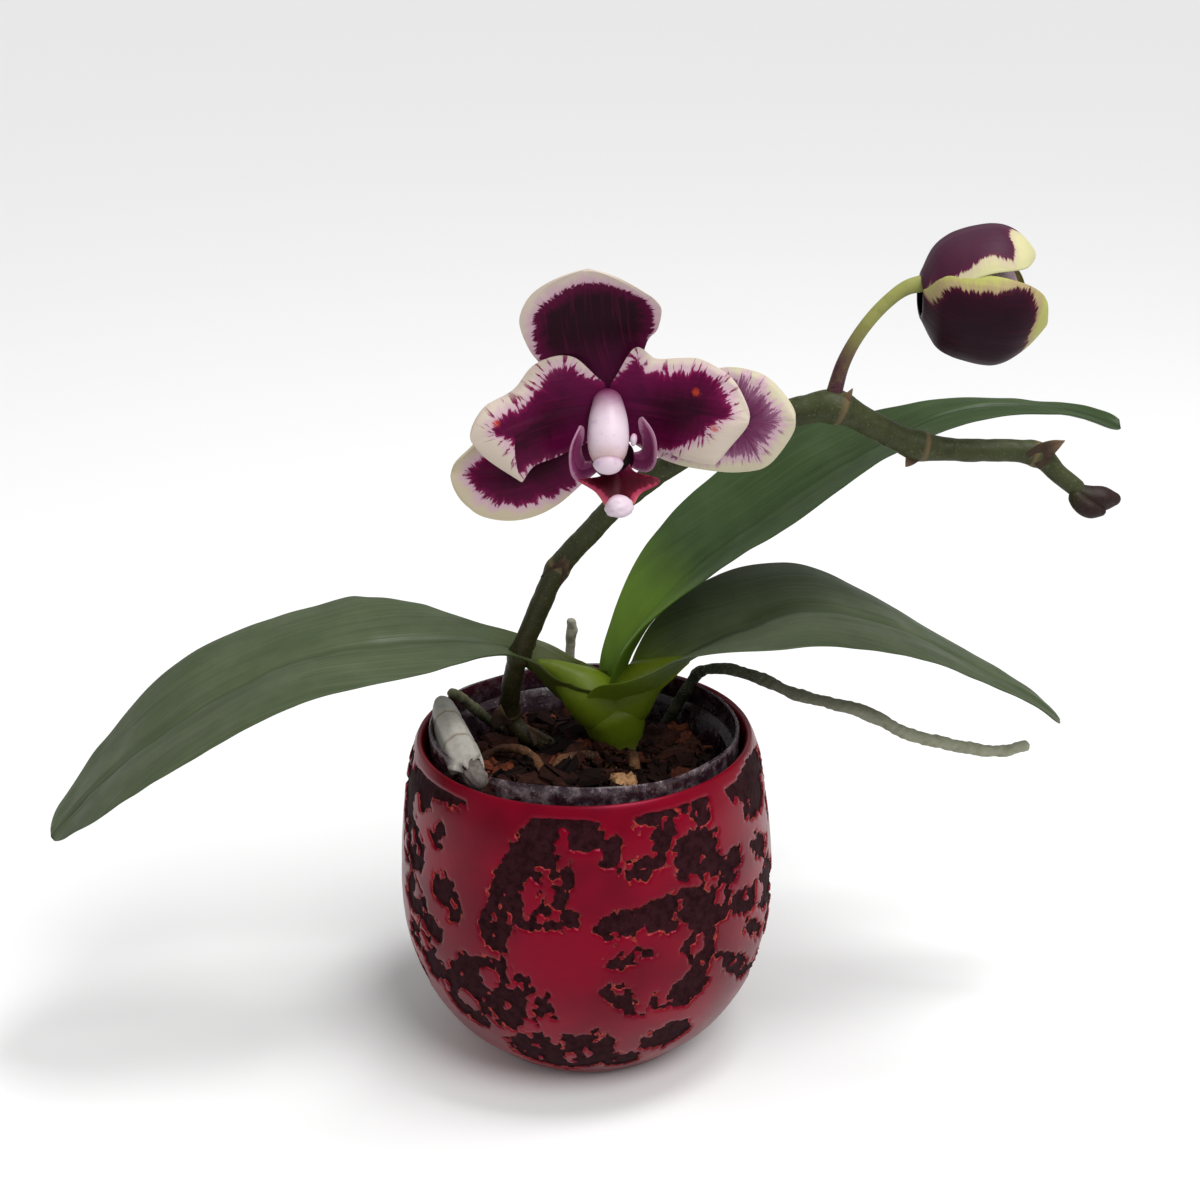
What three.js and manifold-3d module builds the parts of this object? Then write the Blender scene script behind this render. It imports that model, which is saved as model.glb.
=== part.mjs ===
// A potted moth orchid: three strap leaves, one open flower, one bud and loose aerial roots,
// in a clear nursery pot inside a round red and black glazed pot.
// Millimetres, +Z up. The origin is the middle of the pot's flat foot, and -Y is the front.
import * as THREE from "three";
import { mergeVertices } from "three/addons/utils/BufferGeometryUtils.js";
import Module from "manifold-3d";

const wasm = await Module();
wasm.setup();

// Driving dimensions
const GAP = 0.3; // clearance between pieces that touch
const SWELL = 0.45; // how much a neighbour is swollen before it is cut away, to leave that gap
const POT_HEIGHT = 98;
const POT_RADIUS = 55.2; // at the belly
const POT_FOOT_RADIUS = 24;
const POT_WALL = 4.6;
const POT_FLOOR = 7;
const POT_SIDES = 36;
const LINER_HEIGHT = 93.4; // the thin nursery pot, from its own floor
const LINER_RADIUS = 45.2; // at its rim
const LINER_FOOT_RADIUS = 28;
const LINER_WALL = 1;
const LINER_LEAN = 1; // rise of the rim at the front left, fall at the back right
const LINER_BAND = 2.6; // how far its rim band stands out from its wall
const LINER_SIDES = 28;
const BARK_LEVEL = 87;
const BARK_MOUND = 4.5; // how much higher the bark stands at the crown
const BARK_MOUND_SPREAD = 24;
const BARK_SIDES = 24;
const CHIP_COUNT = 28;
const CHIP_REACH = 33; // how far from the middle of the pot the loose chips lie
const CROWN = new THREE.Vector2(9, 8);
const CROWN_RADIUS = 5.2;
const CROWN_TOP = 103;
const LEAF_THICKNESS = 1.7;
const PETAL_THICKNESS = 1;
const FLOWER = new THREE.Vector3(8, -34, 207.5); // where its petals meet

const TO_FRONT = new THREE.Vector3(0, -1, 0.15);

// Seeded random numbers between 0 and 1, so that each build is the same
function randomSource(seed) {
  let state = seed;
  return () => {
    state = (state + 0x6d2b79f5) | 0;
    let mixed = Math.imul(state ^ (state >>> 15), 1 | state);
    mixed = (mixed + Math.imul(mixed ^ (mixed >>> 7), 61 | mixed)) ^ mixed;
    return ((mixed ^ (mixed >>> 14)) >>> 0) / 4294967296;
  };
}

// A closed geometry as a solid: corners that coincide are joined and flat slivers dropped.
function solidFrom(geometry) {
  const loose = geometry.index ? geometry.toNonIndexed() : geometry;
  const bare = new THREE.BufferGeometry();
  bare.setAttribute("position", loose.getAttribute("position"));
  const merged = mergeVertices(bare, 1e-4);
  const corners = merged.index.array;
  const kept = [];
  for (let i = 0; i < corners.length; i += 3) {
    const [a, b, c] = [corners[i], corners[i + 1], corners[i + 2]];
    if (a !== b && b !== c && c !== a) kept.push(a, b, c);
  }
  const vertProperties = merged.attributes.position.array;
  const triVerts = new Uint32Array(kept);
  return new wasm.Manifold(new wasm.Mesh({ numProp: 3, vertProperties, triVerts }));
}

// A solid as an indexed geometry, with normals
function geometryFrom(solid) {
  const mesh = solid.getMesh();
  const geometry = new THREE.BufferGeometry();
  geometry.setAttribute("position", new THREE.BufferAttribute(mesh.vertProperties, 3));
  geometry.setIndex(new THREE.BufferAttribute(mesh.triVerts, 1));
  geometry.computeVertexNormals();
  return geometry;
}

function joined(solids) {
  return solids.reduce((whole, solid) => whole.add(solid));
}

// The same solid, swollen: each corner is moved outwards along its normal.
function swollen(solid) {
  const geometry = geometryFrom(solid);
  const position = geometry.getAttribute("position");
  const normal = geometry.getAttribute("normal");
  for (let i = 0; i < position.count; i++) {
    position.setXYZ(
      i,
      position.getX(i) + SWELL * normal.getX(i),
      position.getY(i) + SWELL * normal.getY(i),
      position.getZ(i) + SWELL * normal.getZ(i),
    );
  }
  return solidFrom(geometry);
}

// What is left of a solid, in one piece, once its neighbours and a gap round them are cut away
function clearOf(solid, neighbours) {
  const rest = neighbours.reduce((left, other) => left.subtract(swollen(other)), solid);
  const pieces = rest.decompose();
  return pieces.reduce((best, piece) => (piece.volume() > best.volume() ? piece : best));
}

// A smooth value at 0..1 along a short list of evenly spaced ones
function along(values, t) {
  if (values.length === 1) return values[0];
  const points = values.map((value, i) => new THREE.Vector2(i, value));
  return new THREE.SplineCurve(points).getPoint(t).y;
}

function curveThrough(points) {
  return new THREE.CatmullRomCurve3(points.map((p) => new THREE.Vector3(...p)), false, "centripetal");
}

// A closed body through rings with the same even number of points. Point k of a ring lies opposite
// point n-1-k, and each end is closed by strips between opposite points. Both halves of a ring are
// split into triangles alike.
function loft(rings) {
  const count = rings[0].length;
  const half = count / 2;
  const index = [];
  for (let r = 0; r + 1 < rings.length; r++) {
    for (let k = 0; k < count; k++) {
      const a = r * count + k;
      const b = r * count + ((k + 1) % count);
      const c = a + count;
      const d = b + count;
      if (k < half) index.push(a, b, d, a, d, c);
      else index.push(a, b, c, b, d, c);
    }
  }
  const last = (rings.length - 1) * count;
  for (let k = 0; k + 1 < half; k++) {
    const across = [k, k + 1, count - 2 - k, count - 1 - k];
    const [a, b, c, d] = across;
    index.push(a, c, b, a, d, c);
    const [e, f, g, h] = across.map((corner) => corner + last);
    index.push(e, f, g, e, g, h);
  }
  const geometry = new THREE.BufferGeometry();
  const positions = rings.flat().flatMap((p) => [p.x, p.y, p.z]);
  geometry.setAttribute("position", new THREE.Float32BufferAttribute(positions, 3));
  geometry.setIndex(index);
  return solidFrom(geometry);
}

// A round stalk along a smooth path. Its radii are evenly spaced along it, and its ends are domed.
function stalk({ path, radii, sides = 8, steps = 20 }) {
  const curve = curveThrough(path);
  const { tangents, normals, binormals } = curve.computeFrenetFrames(steps, false);
  const ringAt = (step, radius, slide) => {
    const centre = curve.getPointAt(step / steps).addScaledVector(tangents[step], slide);
    return Array.from({ length: sides }, (_, k) => {
      const angle = (2 * Math.PI * (k + 0.5)) / sides;
      return centre
        .clone()
        .addScaledVector(normals[step], radius * Math.cos(angle))
        .addScaledVector(binormals[step], radius * Math.sin(angle));
    });
  };
  const rings = [];
  for (let step = 0; step <= steps; step++) {
    const radius = along(radii, step / steps);
    if (step === 0) rings.push(ringAt(0, 0.5 * radius, -0.6 * radius));
    rings.push(ringAt(step, radius, 0));
    if (step === steps) rings.push(ringAt(steps, 0.5 * radius, 0.6 * radius));
  }
  return loft(rings);
}

// A thin blade along a smooth path, such as a leaf or a petal. face is the way its upper side
// looks. minus and plus are its half widths to each side of the path, fold lifts both sides into a
// channel, and wrap bends each side down through an arc of that many radians, all evenly spaced
// along it. edge is the thickness at its margins as a share of that at its middle. Stations are
// evenly spaced, or follow the path's own points where even is false.
function blade({
  path,
  face,
  minus,
  plus = minus,
  fold = [0],
  wrap = [0],
  thickness = [LEAF_THICKNESS],
  edge = 0.6,
  stations = 16,
  across = 6,
  even = true,
}) {
  const curve = curveThrough(path);
  const rings = [];
  for (let s = 0; s <= stations; s++) {
    const t = s / stations;
    const centre = even ? curve.getPointAt(t) : curve.getPoint(t);
    const tangent = even ? curve.getTangentAt(t) : curve.getTangent(t);
    const side = new THREE.Vector3().crossVectors(tangent, face).normalize();
    const normal = new THREE.Vector3().crossVectors(side, tangent);
    const upper = [];
    const lower = [];
    for (let k = 0; k <= across; k++) {
      const u = (2 * k) / across - 1;
      const width = along(u < 0 ? minus : plus, t);
      const arc = Math.max(Math.abs(along(wrap, t)), 1e-3) * Math.sign(along(wrap, t) || 1);
      const reach = (width * Math.sin(arc * u)) / arc;
      const rise = width * along(fold, t) * Math.abs(u) - (width * (1 - Math.cos(arc * u))) / arc;
      const thick = along(thickness, t) * (1 - (1 - edge) * u * u);
      const middle = centre.clone().addScaledVector(side, reach).addScaledVector(normal, rise);
      upper.push(middle.clone().addScaledVector(normal, thick / 2));
      lower.unshift(middle.addScaledVector(normal, -thick / 2));
    }
    rings.push([...upper, ...lower]);
  }
  return loft(rings);
}

// A body turned about the Z axis from a closed or axis-to-axis profile of [radius, height] points
function turned(profile, sides, bend = (point) => point) {
  const outline = profile.map(([radius, height]) => new THREE.Vector2(radius, height));
  const geometry = new THREE.LatheGeometry(outline, sides).rotateX(Math.PI / 2);
  const position = geometry.getAttribute("position");
  const point = new THREE.Vector3();
  for (let i = 0; i < position.count; i++) {
    bend(point.fromBufferAttribute(position, i));
    position.setXYZ(i, point.x, point.y, point.z);
  }
  return solidFrom(geometry);
}

// Red and black glazed pot: a round belly on a flat foot, with a soft rounded lip
function buildPot() {
  const belly = POT_RADIUS;
  const outside = [
    [POT_FOOT_RADIUS, 0],
    [0.56 * belly, 1.6],
    [0.65 * belly, 0.06 * POT_HEIGHT],
    [0.75 * belly, 0.11 * POT_HEIGHT],
    [0.825 * belly, 0.165 * POT_HEIGHT],
    [0.9 * belly, 0.24 * POT_HEIGHT],
    [0.955 * belly, 0.325 * POT_HEIGHT],
    [0.99 * belly, 0.42 * POT_HEIGHT],
    [belly, 0.52 * POT_HEIGHT],
    [0.99 * belly, 0.65 * POT_HEIGHT],
    [0.968 * belly, 0.78 * POT_HEIGHT],
    [0.935 * belly, 0.9 * POT_HEIGHT],
    [0.91 * belly, 0.965 * POT_HEIGHT],
  ];
  const lip = [
    [0.894 * belly, 0.99 * POT_HEIGHT],
    [0.873 * belly, POT_HEIGHT],
    [0.852 * belly, 0.99 * POT_HEIGHT],
    [0.845 * belly, 0.955 * POT_HEIGHT],
  ];
  const inside = outside
    .slice(3, 12)
    .reverse()
    .map(([radius, height]) => [radius - POT_WALL, height + 0.15 * POT_WALL]);
  const floor = [
    [LINER_FOOT_RADIUS + 4, POT_FLOOR + 1],
    [LINER_FOOT_RADIUS + 1, POT_FLOOR],
    [0, POT_FLOOR],
  ];
  return turned([[0, 0], ...outside, ...lip, ...inside, ...floor], POT_SIDES);
}

// The rim of the nursery pot stands a little higher at the front left than at the back right.
function leanWithHeight(point) {
  const share = Math.max(0, point.z - 50) / (LINER_HEIGHT - 50);
  point.z += (share * LINER_LEAN * (-point.x - point.y)) / (Math.SQRT2 * LINER_RADIUS);
  return point;
}

// Clear nursery pot: a thin tapered cup with a broad plain rim band
function buildLiner() {
  const base = POT_FLOOR + GAP;
  const top = base + LINER_HEIGHT;
  const bandRadius = LINER_RADIUS - 0.2;
  const underBand = LINER_RADIUS - LINER_BAND;
  const profile = [
    [0, base],
    [LINER_FOOT_RADIUS - 1.5, base],
    [LINER_FOOT_RADIUS, base + 1.5],
    [0.5 * (LINER_FOOT_RADIUS + underBand), base + 0.45 * LINER_HEIGHT],
    [underBand, top - 9],
    [bandRadius, top - 7.5],
    [LINER_RADIUS, top - 0.5],
    [LINER_RADIUS - 0.5, top],
    [LINER_RADIUS - 1.3, top - 0.5],
    [bandRadius - LINER_WALL - 0.2, top - 7],
    [underBand - LINER_WALL, top - 9],
    [0.5 * (LINER_FOOT_RADIUS + underBand) - LINER_WALL, base + 0.45 * LINER_HEIGHT],
    [LINER_FOOT_RADIUS - LINER_WALL, base + 2],
    [LINER_FOOT_RADIUS - LINER_WALL - 1, base + LINER_WALL],
    [0, base + LINER_WALL],
  ];
  return turned(profile, LINER_SIDES, leanWithHeight);
}

// Height of the bark's surface: level near the wall, mounded round the crown
function barkHeight(x, y) {
  const reach = Math.hypot(x - CROWN.x, y - CROWN.y) / BARK_MOUND_SPREAD;
  return BARK_LEVEL + BARK_MOUND * Math.exp(-reach * reach);
}

// A chip of bark: a flat box with its corners pulled about
function barkChip(random) {
  const size = new THREE.Vector3(7 + 6 * random(), 4.5 + 4 * random(), 2.6 + 2.4 * random());
  const box = mergeVertices(new THREE.BoxGeometry(1, 1, 1).deleteAttribute("normal").deleteAttribute("uv"));
  const position = box.getAttribute("position");
  for (let i = 0; i < position.count; i++) {
    const shrink = 0.72 + 0.28 * random();
    position.setXYZ(
      i,
      position.getX(i) * size.x * shrink,
      position.getY(i) * size.y * (0.6 + 0.4 * random()),
      position.getZ(i) * size.z * shrink,
    );
  }
  const radius = CHIP_REACH * Math.sqrt(random());
  const angle = 2 * Math.PI * random();
  const [x, y] = [radius * Math.cos(angle), radius * Math.sin(angle)];
  const tilt = new THREE.Euler(0.9 * (random() - 0.5), 0.9 * (random() - 0.5), Math.PI * random());
  const lift = 0.8 * size.z * (random() - 0.35);
  const place = new THREE.Matrix4().makeRotationFromEuler(tilt);
  place.setPosition(x, y, barkHeight(x, y) + lift);
  return solidFrom(box.applyMatrix4(place));
}

// Bark that fills the nursery pot, with loose chips on top and plain holes where stems stand
function buildBark(standing) {
  const base = POT_FLOOR + GAP + LINER_WALL + GAP;
  const steps = [0.86, 0.6, 0.35, 0.15];
  const inner = LINER_RADIUS - LINER_BAND - LINER_WALL - 2 * GAP;
  const profile = [
    [0, base],
    [LINER_FOOT_RADIUS - 3, base],
    [LINER_FOOT_RADIUS - 2, base + 2],
    [inner - 1.2, BARK_LEVEL - 2],
    ...steps.map((share) => [share * inner, BARK_LEVEL]),
    [0, BARK_LEVEL],
  ];
  const settle = (point) => {
    if (point.z > BARK_LEVEL - 1) point.z = barkHeight(point.x, point.y);
    return point;
  };
  const random = randomSource(11);
  const chips = Array.from({ length: CHIP_COUNT }, () => barkChip(random));
  const heap = joined([turned(profile, BARK_SIDES, settle), ...chips]);
  return clearOf(heap, standing);
}

// Short green stem that the leaves clasp
function buildCrown() {
  const path = [
    [CROWN.x, CROWN.y + 1, BARK_LEVEL - 12],
    [CROWN.x, CROWN.y, BARK_LEVEL + 3],
    [CROWN.x - 0.5, CROWN.y - 1, CROWN_TOP],
  ];
  return stalk({ path, radii: [3.5, CROWN_RADIUS, 6.2, 5], sides: 12, steps: 8 });
}

const LEAF_SECTION = {
  thickness: [3, 2.4, 1.9, LEAF_THICKNESS, 1.6, 1.5, 1.4, 1.2],
  stations: 18,
};

function buildLeftLeaf() {
  return blade({
    path: [
      [4.5, 4, 93.5],
      [-2, 3, 102],
      [-8, 2.5, 109.5],
      [-15, 1, 118],
      [-24, -2, 124.5],
      [-41, -5, 128],
      [-60, -8, 129],
      [-82.5, -11, 125],
      [-105.5, -14, 115],
      [-129, -17, 98.5],
      [-145.5, -19, 84],
      [-153.5, -20, 76.5],
    ],
    face: new THREE.Vector3(0, -0.15, 1),
    minus: [4.5, 4, 6.5, 15, 21.5, 24.5, 25, 22.5, 15.5, 4.5],
    plus: [4.5, 4.5, 8, 19.5, 26, 27.5, 27.5, 26, 21, 8],
    fold: [3, 1.5, 0.4, 0.2, 0.16, 0.15, 0.15, 0.15, 0.1, 0.1],
    wrap: [0, 0, 0.1, 0.2, 0.24, 0.24, 0.2, 0.1, 0],
    ...LEAF_SECTION,
  });
}

function buildLowerRightLeaf() {
  return blade({
    path: [
      [11, 5, 94],
      [14, 4, 102.5],
      [20, 4, 109.5],
      [30, 4, 118.5],
      [45.5, 5, 126.5],
      [63, 7, 131.5],
      [81, 9, 128],
      [98.5, 11, 120.5],
      [117, 13, 109.5],
      [133, 14, 99],
      [142, 15, 91.5],
    ],
    face: new THREE.Vector3(0, -0.1, 1),
    minus: [4.5, 8, 17.5, 26, 24.5, 18, 11, 6.5, 4.5],
    plus: [4.5, 14, 22.5, 26, 23.5, 18, 11, 6.5, 4.5],
    fold: [1.8, 0.95, 0.55, 0.28, 0.18, 0.15, 0.15, 0.15, 0.1],
    wrap: [0, 0, 0.1, 0.2, 0.24, 0.24, 0.2, 0.1, 0],
    ...LEAF_SECTION,
  });
}

function buildUpperRightLeaf() {
  return blade({
    path: [
      [9, 9, 104.5],
      [12, 9, 116],
      [18, 10, 127],
      [30, 13, 140],
      [62, 20, 163],
      [101.5, 27, 181.4],
      [139.5, 31, 183.8],
      [158, 33, 177.5],
    ],
    face: new THREE.Vector3(-0.3, -0.2, 1),
    minus: [4, 9, 18.5, 25, 24, 15.5, 8, 4.5, 4.5],
    plus: [4, 11, 18, 19.5, 16.5, 11.5, 7.5, 5, 4.5],
    fold: [0.9, 0.65, 0.38, 0.25, 0.2, 0.2, 0.2, 0.1, 0.1],
    ...LEAF_SECTION,
  });
}

// Flower spike: it leaves the crown under the bark, turns up, arches to the right and ends in
// two tiny buds. Its nodes carry small dry bracts.
function buildSpike() {
  const stem = stalk({
    path: [
      [-3, 5, 87],
      [-7, 8, 87.5],
      [-13.5, 12, 89],
      [-19.5, 15, 91.5],
      [-22, 16, 95.5],
      [-21.5, 14, 105],
      [-19, 10, 116.5],
      [-15, 6, 127.5],
      [-6, -2, 150],
      [3.3, -7, 162.5],
      [11.5, -11, 172.5],
      [32.5, -19, 190],
      [59, -22, 200.5],
      [68, -22, 201.5],
      [77.5, -21, 196.5],
      [90, -20, 190],
      [102.5, -19, 188],
      [123.5, -18, 186],
      [129.5, -19, 180.5],
      [136, -20, 175.5],
    ],
    radii: [2.7, 2.8, 2.9, 3, 3.1, 3.2, 3.3, 3.5, 3.9, 3.6, 3.2, 3, 2.4],
    steps: 32,
  });
  const knob = stalk({ path: [[-20.5, 10, 117], [-17.5, 8, 121]], radii: [2.6, 3.4, 2.4], steps: 2 });
  const shoulder = stalk({ path: [[62, -22, 200], [70, -22, 202]], radii: [3, 4.2, 3], steps: 2 });
  const knuckle = stalk({ path: [[87, -20, 190], [96, -19.5, 187.5]], radii: [3, 4, 3.2], steps: 2 });
  const elbow = stalk({ path: [[120, -18, 186], [126, -18.5, 186]], radii: [3, 3.6, 2.8], steps: 2 });
  const bract = (path, width, face) =>
    blade({ path, face, minus: [width, width, 0.6 * width, 0.5], fold: [0.5], thickness: [1.1], stations: 4, across: 2 });
  const bracts = [
    bract([[-8.5, -3, 147], [-5, -5, 152], [-3, -6, 156]], 2.6, TO_FRONT),
    bract([[-24, 14, 94], [-24.5, 12, 98], [-24, 10, 101]], 3, TO_FRONT),
    bract([[90, -21, 188], [89, -22, 186.5], [88, -22.5, 185]], 2, TO_FRONT),
    bract([[122, -20, 185], [125.5, -20.5, 188.5], [128.5, -20.5, 190]], 3, TO_FRONT),
    bract([[-11, 9, 88], [-15, 11, 92], [-17, 11, 95]], 2.4, TO_FRONT),
  ];
  const tipBuds = [
    stalk({ path: [[135, -20, 176], [139, -20, 174], [146, -20, 174]], radii: [2.2, 3, 3, 1.4], steps: 5 }),
    stalk({ path: [[135, -21, 175.5], [137.5, -22, 172.5], [141.5, -22.5, 171]], radii: [1.8, 2.4, 2.4, 1.2], steps: 5 }),
  ];
  return joined([stem, knob, shoulder, knuckle, elbow, ...bracts, ...tipBuds]);
}

function buildBudPedicel() {
  return stalk({
    path: [
      [67.5, -22, 203.5],
      [70.2, -22, 213.5],
      [74.5, -22, 221.7],
      [80.5, -22, 229],
      [86, -22, 233.2],
      [91.5, -22, 234.5],
    ],
    radii: [2.2, 1.9, 1.7, 1.7, 1.8, 2.3],
    steps: 14,
  });
}

function buildFlowerPedicel() {
  const { x, y, z } = FLOWER;
  return stalk({
    path: [
      [33, -18, 191],
      [30, -14, 199],
      [22, -14, 207],
      [13, -20, 209],
      [x + 0.5, y + 7, z],
      [x, y + 2.2, z - 0.5],
    ],
    radii: [2, 1.6, 1.5, 1.6, 2.2, 3],
    steps: 16,
  });
}

function sepal({ path, widths, wrap = [0.2], ...rest }) {
  return blade({
    path,
    face: TO_FRONT,
    minus: widths,
    wrap,
    thickness: [1.3, PETAL_THICKNESS],
    edge: 0.75,
    stations: 14,
    ...rest,
  });
}

// Broad hooded sepal at the top of the flower
function buildDorsalSepal() {
  return sepal({
    path: [
      [8, -33, 209.5],
      [6.5, -31.5, 216],
      [5, -32.5, 222],
      [4, -35.5, 230],
      [3.5, -39, 237.5],
      [3.5, -42.5, 244],
    ],
    widths: [3.2, 8, 12.5, 16, 17.5, 17.9, 17, 14.5, 6],
    wrap: [0, 0, -0.25, -0.45, -0.5],
  });
}

function buildLeftSepal() {
  return sepal({
    path: [
      [6, -34, 205],
      [-0.5, -34, 197],
      [-8.5, -34.5, 192],
      [-18, -35, 188.5],
      [-27, -36, 189],
      [-33, -37, 190.5],
    ],
    widths: [2.6, 7.5, 10.5, 12.4, 13, 10.5, 3],
  });
}

function buildRightSepal() {
  return sepal({
    path: [
      [10.5, -34, 205],
      [21.5, -33.5, 202],
      [34.5, -33, 201],
      [47.5, -34, 201.5],
      [56.5, -36, 202],
    ],
    widths: [2.6, 7, 10, 13.5, 14.3, 11, 3.5],
    plus: [2.6, 7.5, 11, 12.8, 13.8, 12, 4.5],
  });
}

// Left front petal: rhombic, its outer lobe rolled back a little
function buildLeftPetal() {
  return sepal({
    path: [
      [4.5, -36.5, 207.5],
      [-4.5, -38, 207],
      [-12, -42, 206],
      [-19.5, -45, 204],
      [-27, -45, 200.5],
    ],
    widths: [2.2, 10.5, 12.5, 13, 16, 9],
    plus: [2.2, 12.5, 12.5, 7.5, 6, 3],
    wrap: [0, 0.2, 0.4, 0.5],
  });
}

function buildRightPetal() {
  return sepal({
    path: [
      [12, -36.5, 208],
      [19, -38, 207.5],
      [27.5, -42, 207],
      [36.5, -45.5, 206.5],
      [44, -45.5, 205],
    ],
    widths: [2.4, 14, 12, 13, 13.7, 12.5, 9, 5],
    plus: [2.4, 9, 11.5, 12, 13, 13.5, 13, 6],
    wrap: [0, 0.2, 0.4, 0.5],
  });
}

function buildColumn() {
  const path = [[8, -36.3, 209], [8, -39, 206.5], [8, -44, 203], [7.8, -47.5, 197.5]];
  return stalk({ path, radii: [2.4, 3.4, 4.4, 4.9, 3.4], sides: 12, steps: 10 });
}

// Lip: a keel under the column, two upright side lobes and a pointed middle lobe with a swollen tip
function buildLip() {
  const keel = stalk({
    path: [[8.5, -36, 199], [9, -40, 195], [10, -45, 191.5]],
    radii: [2, 4.2, 3.4],
    steps: 4,
  });
  const lobe = (path, width, face) =>
    blade({ path, face, minus: [1.6, width, width, 0.8], thickness: [1.1], stations: 7, across: 2, fold: [0.25] });
  const left = lobe([[6, -40, 193], [0.5, -43, 192], [-1.2, -46, 198], [1, -46.5, 204.5]], 3, new THREE.Vector3(1, -0.6, 0));
  const right = lobe([[12, -40, 194], [18, -43, 194.5], [19, -46, 201], [16.5, -46.5, 206.5]], 3, new THREE.Vector3(-1, -0.6, 0));
  const middle = blade({
    path: [[9.5, -41, 194], [10.5, -46, 190.5], [10.5, -50, 187], [10.7, -53, 183]],
    face: new THREE.Vector3(0, -0.7, 0.7),
    minus: [3, 4, 9.5, 3],
    fold: [0.2],
    thickness: [1.6],
    stations: 8,
    across: 2,
  });
  const tip = stalk({ path: [[9, -52.5, 185.5], [12.5, -53, 183.5]], radii: [2, 3.2, 2], sides: 8, steps: 4 });
  return joined([keel, left, right, middle, tip]);
}

// Swelling bud on a level axis, just splitting: three thick sepals round a pale core of petals.
// Its half width is given at evenly spaced places from the stalk end to the tip.
const BUD = {
  start: new THREE.Vector3(89.5, -22, 230.8),
  end: new THREE.Vector3(122, -22, 232),
  radii: [5.5, 12.8, 15.4, 16.6, 17.2, 17, 15.2, 11.5, 5.5],
};

function buildBudCore() {
  const path = [0.06, 0.35, 0.6, 0.79].map((t) => BUD.start.clone().lerp(BUD.end, t).toArray());
  return stalk({ path, radii: [4, 11.5, 14, 13.5, 7], sides: 10, steps: 6 });
}

// One sepal of the bud, a patch of its round wall. around is its middle's angle from straight up,
// spread is how far it reaches to each side, in radians, from the stalk end to the tip, and reach
// is the share of the bud's length that it covers.
function buildBudSepal({ around, spread, reach }) {
  const outwards = new THREE.Vector3(0, -Math.sin(around), Math.cos(around));
  const places = BUD.radii.map((_, i) => i / (BUD.radii.length - 1));
  const wall = (t) => along(BUD.radii, reach * t);
  return blade({
    path: places.map((t) =>
      BUD.start
        .clone()
        .lerp(BUD.end, reach * t)
        .addScaledVector(outwards, wall(t))
        .toArray(),
    ),
    face: outwards,
    minus: places.map((t) => wall(t) * along(spread, t)),
    wrap: spread,
    thickness: [1.5],
    edge: 0.8,
    stations: 12,
    even: false,
  });
}

// Loose aerial roots
const ROOTS = {
  root_right: {
    path: [
      [24, 26, 86],
      [31, 29, 97.5],
      [35.5, 31.5, 102.3],
      [43, 32, 103],
      [53.5, 30, 100.5],
      [62.5, 28, 96.5],
      [86.5, 24, 90.5],
      [96, 22, 85.5],
      [110.5, 20, 82],
      [125.5, 18, 80.5],
      [134, 17, 83],
    ],
    radii: [1.9, 1.7, 1.8, 1.9, 1.9, 1.7],
    steps: 26,
    sides: 6,
  },
  root_upright: {
    path: [[-4.5, 31, 82], [-4.2, 32, 106], [-3.3, 32, 120.5]],
    radii: [1.6, 1.6, 1.4],
    steps: 10,
  },
  root_left: {
    path: [[-24, 27, 85], [-30.5, 24, 92], [-36, 20.5, 99], [-40, 16.5, 103.8]],
    radii: [1.5],
    steps: 10,
  },
  root_stub_front: {
    path: [[13, 2, 89], [14, -4, 90.5], [15, -10, 88.5]],
    radii: [2, 1.7, 1.4],
    steps: 6,
  },
  root_arc_middle: {
    path: [[5, 0, 89], [-1, -3, 91.5], [-7, -7, 91.5], [-11, -11, 87]],
    radii: [1.5, 1.4, 1.2],
    steps: 10,
  },
  root_arc_left: {
    path: [[-31, 0, 88], [-26, -1, 92.5], [-19, -4, 94], [-13, -10, 92], [-10, -17, 86]],
    radii: [1.3],
    steps: 12,
  },
};

// Old aerial root on the left of the rim: a loose silvery sleeve, split open at its lower end
const SLEEVE = {
  path: [[-41.8, 14, 102.6], [-39.7, 0, 101], [-36.8, -12, 99], [-33.7, -21, 97], [-31, -26.5, 94.5]],
  radii: [2.8, 4.2, 4.8, 4.9, 4.6],
};

function buildSleeve() {
  const outer = stalk({ ...SLEEVE, steps: 10 });
  const hollow = stalk({
    path: [[-36, -16, 97.5], [-32.5, -24.5, 95], [-29, -33, 91]],
    radii: [2.2, 3.6, 4.2],
    steps: 4,
  });
  return outer.subtract(hollow);
}

function buildSleeveCore() {
  return stalk({
    path: [[-35.7, -16.8, 97.3], [-32.5, -24.5, 95], [-29.5, -30.5, 92.2]],
    radii: [1.5, 2.5, 2.8],
    steps: 8,
  });
}

const FINISHES = {
  red_glaze: { color: 0x92061f, roughness: 0.28, metalness: 0 },
  clear_plastic: { color: 0x6e6464, roughness: 0.4, metalness: 0 },
  bark: { color: 0x2c150f, roughness: 0.9, metalness: 0 },
  crown_green: { color: 0x76892a, roughness: 0.45, metalness: 0 },
  leaf_green: { color: 0x35492f, roughness: 0.4, metalness: 0 },
  spike_green: { color: 0x3f4a27, roughness: 0.55, metalness: 0 },
  pedicel_green: { color: 0x9a9a48, roughness: 0.5, metalness: 0 },
  petal_purple: { color: 0x5a0638, roughness: 0.5, metalness: 0 },
  column_white: { color: 0xe3c9de, roughness: 0.4, metalness: 0 },
  bud_purple: { color: 0x3a1328, roughness: 0.5, metalness: 0 },
  petal_pale: { color: 0xdccfd0, roughness: 0.5, metalness: 0 },
  root_green: { color: 0x5d6a50, roughness: 0.7, metalness: 0 },
  root_brown: { color: 0x5e4432, roughness: 0.8, metalness: 0 },
  root_silver: { color: 0xb8b6b0, roughness: 0.7, metalness: 0 },
};

const plant = new THREE.Group();

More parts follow.
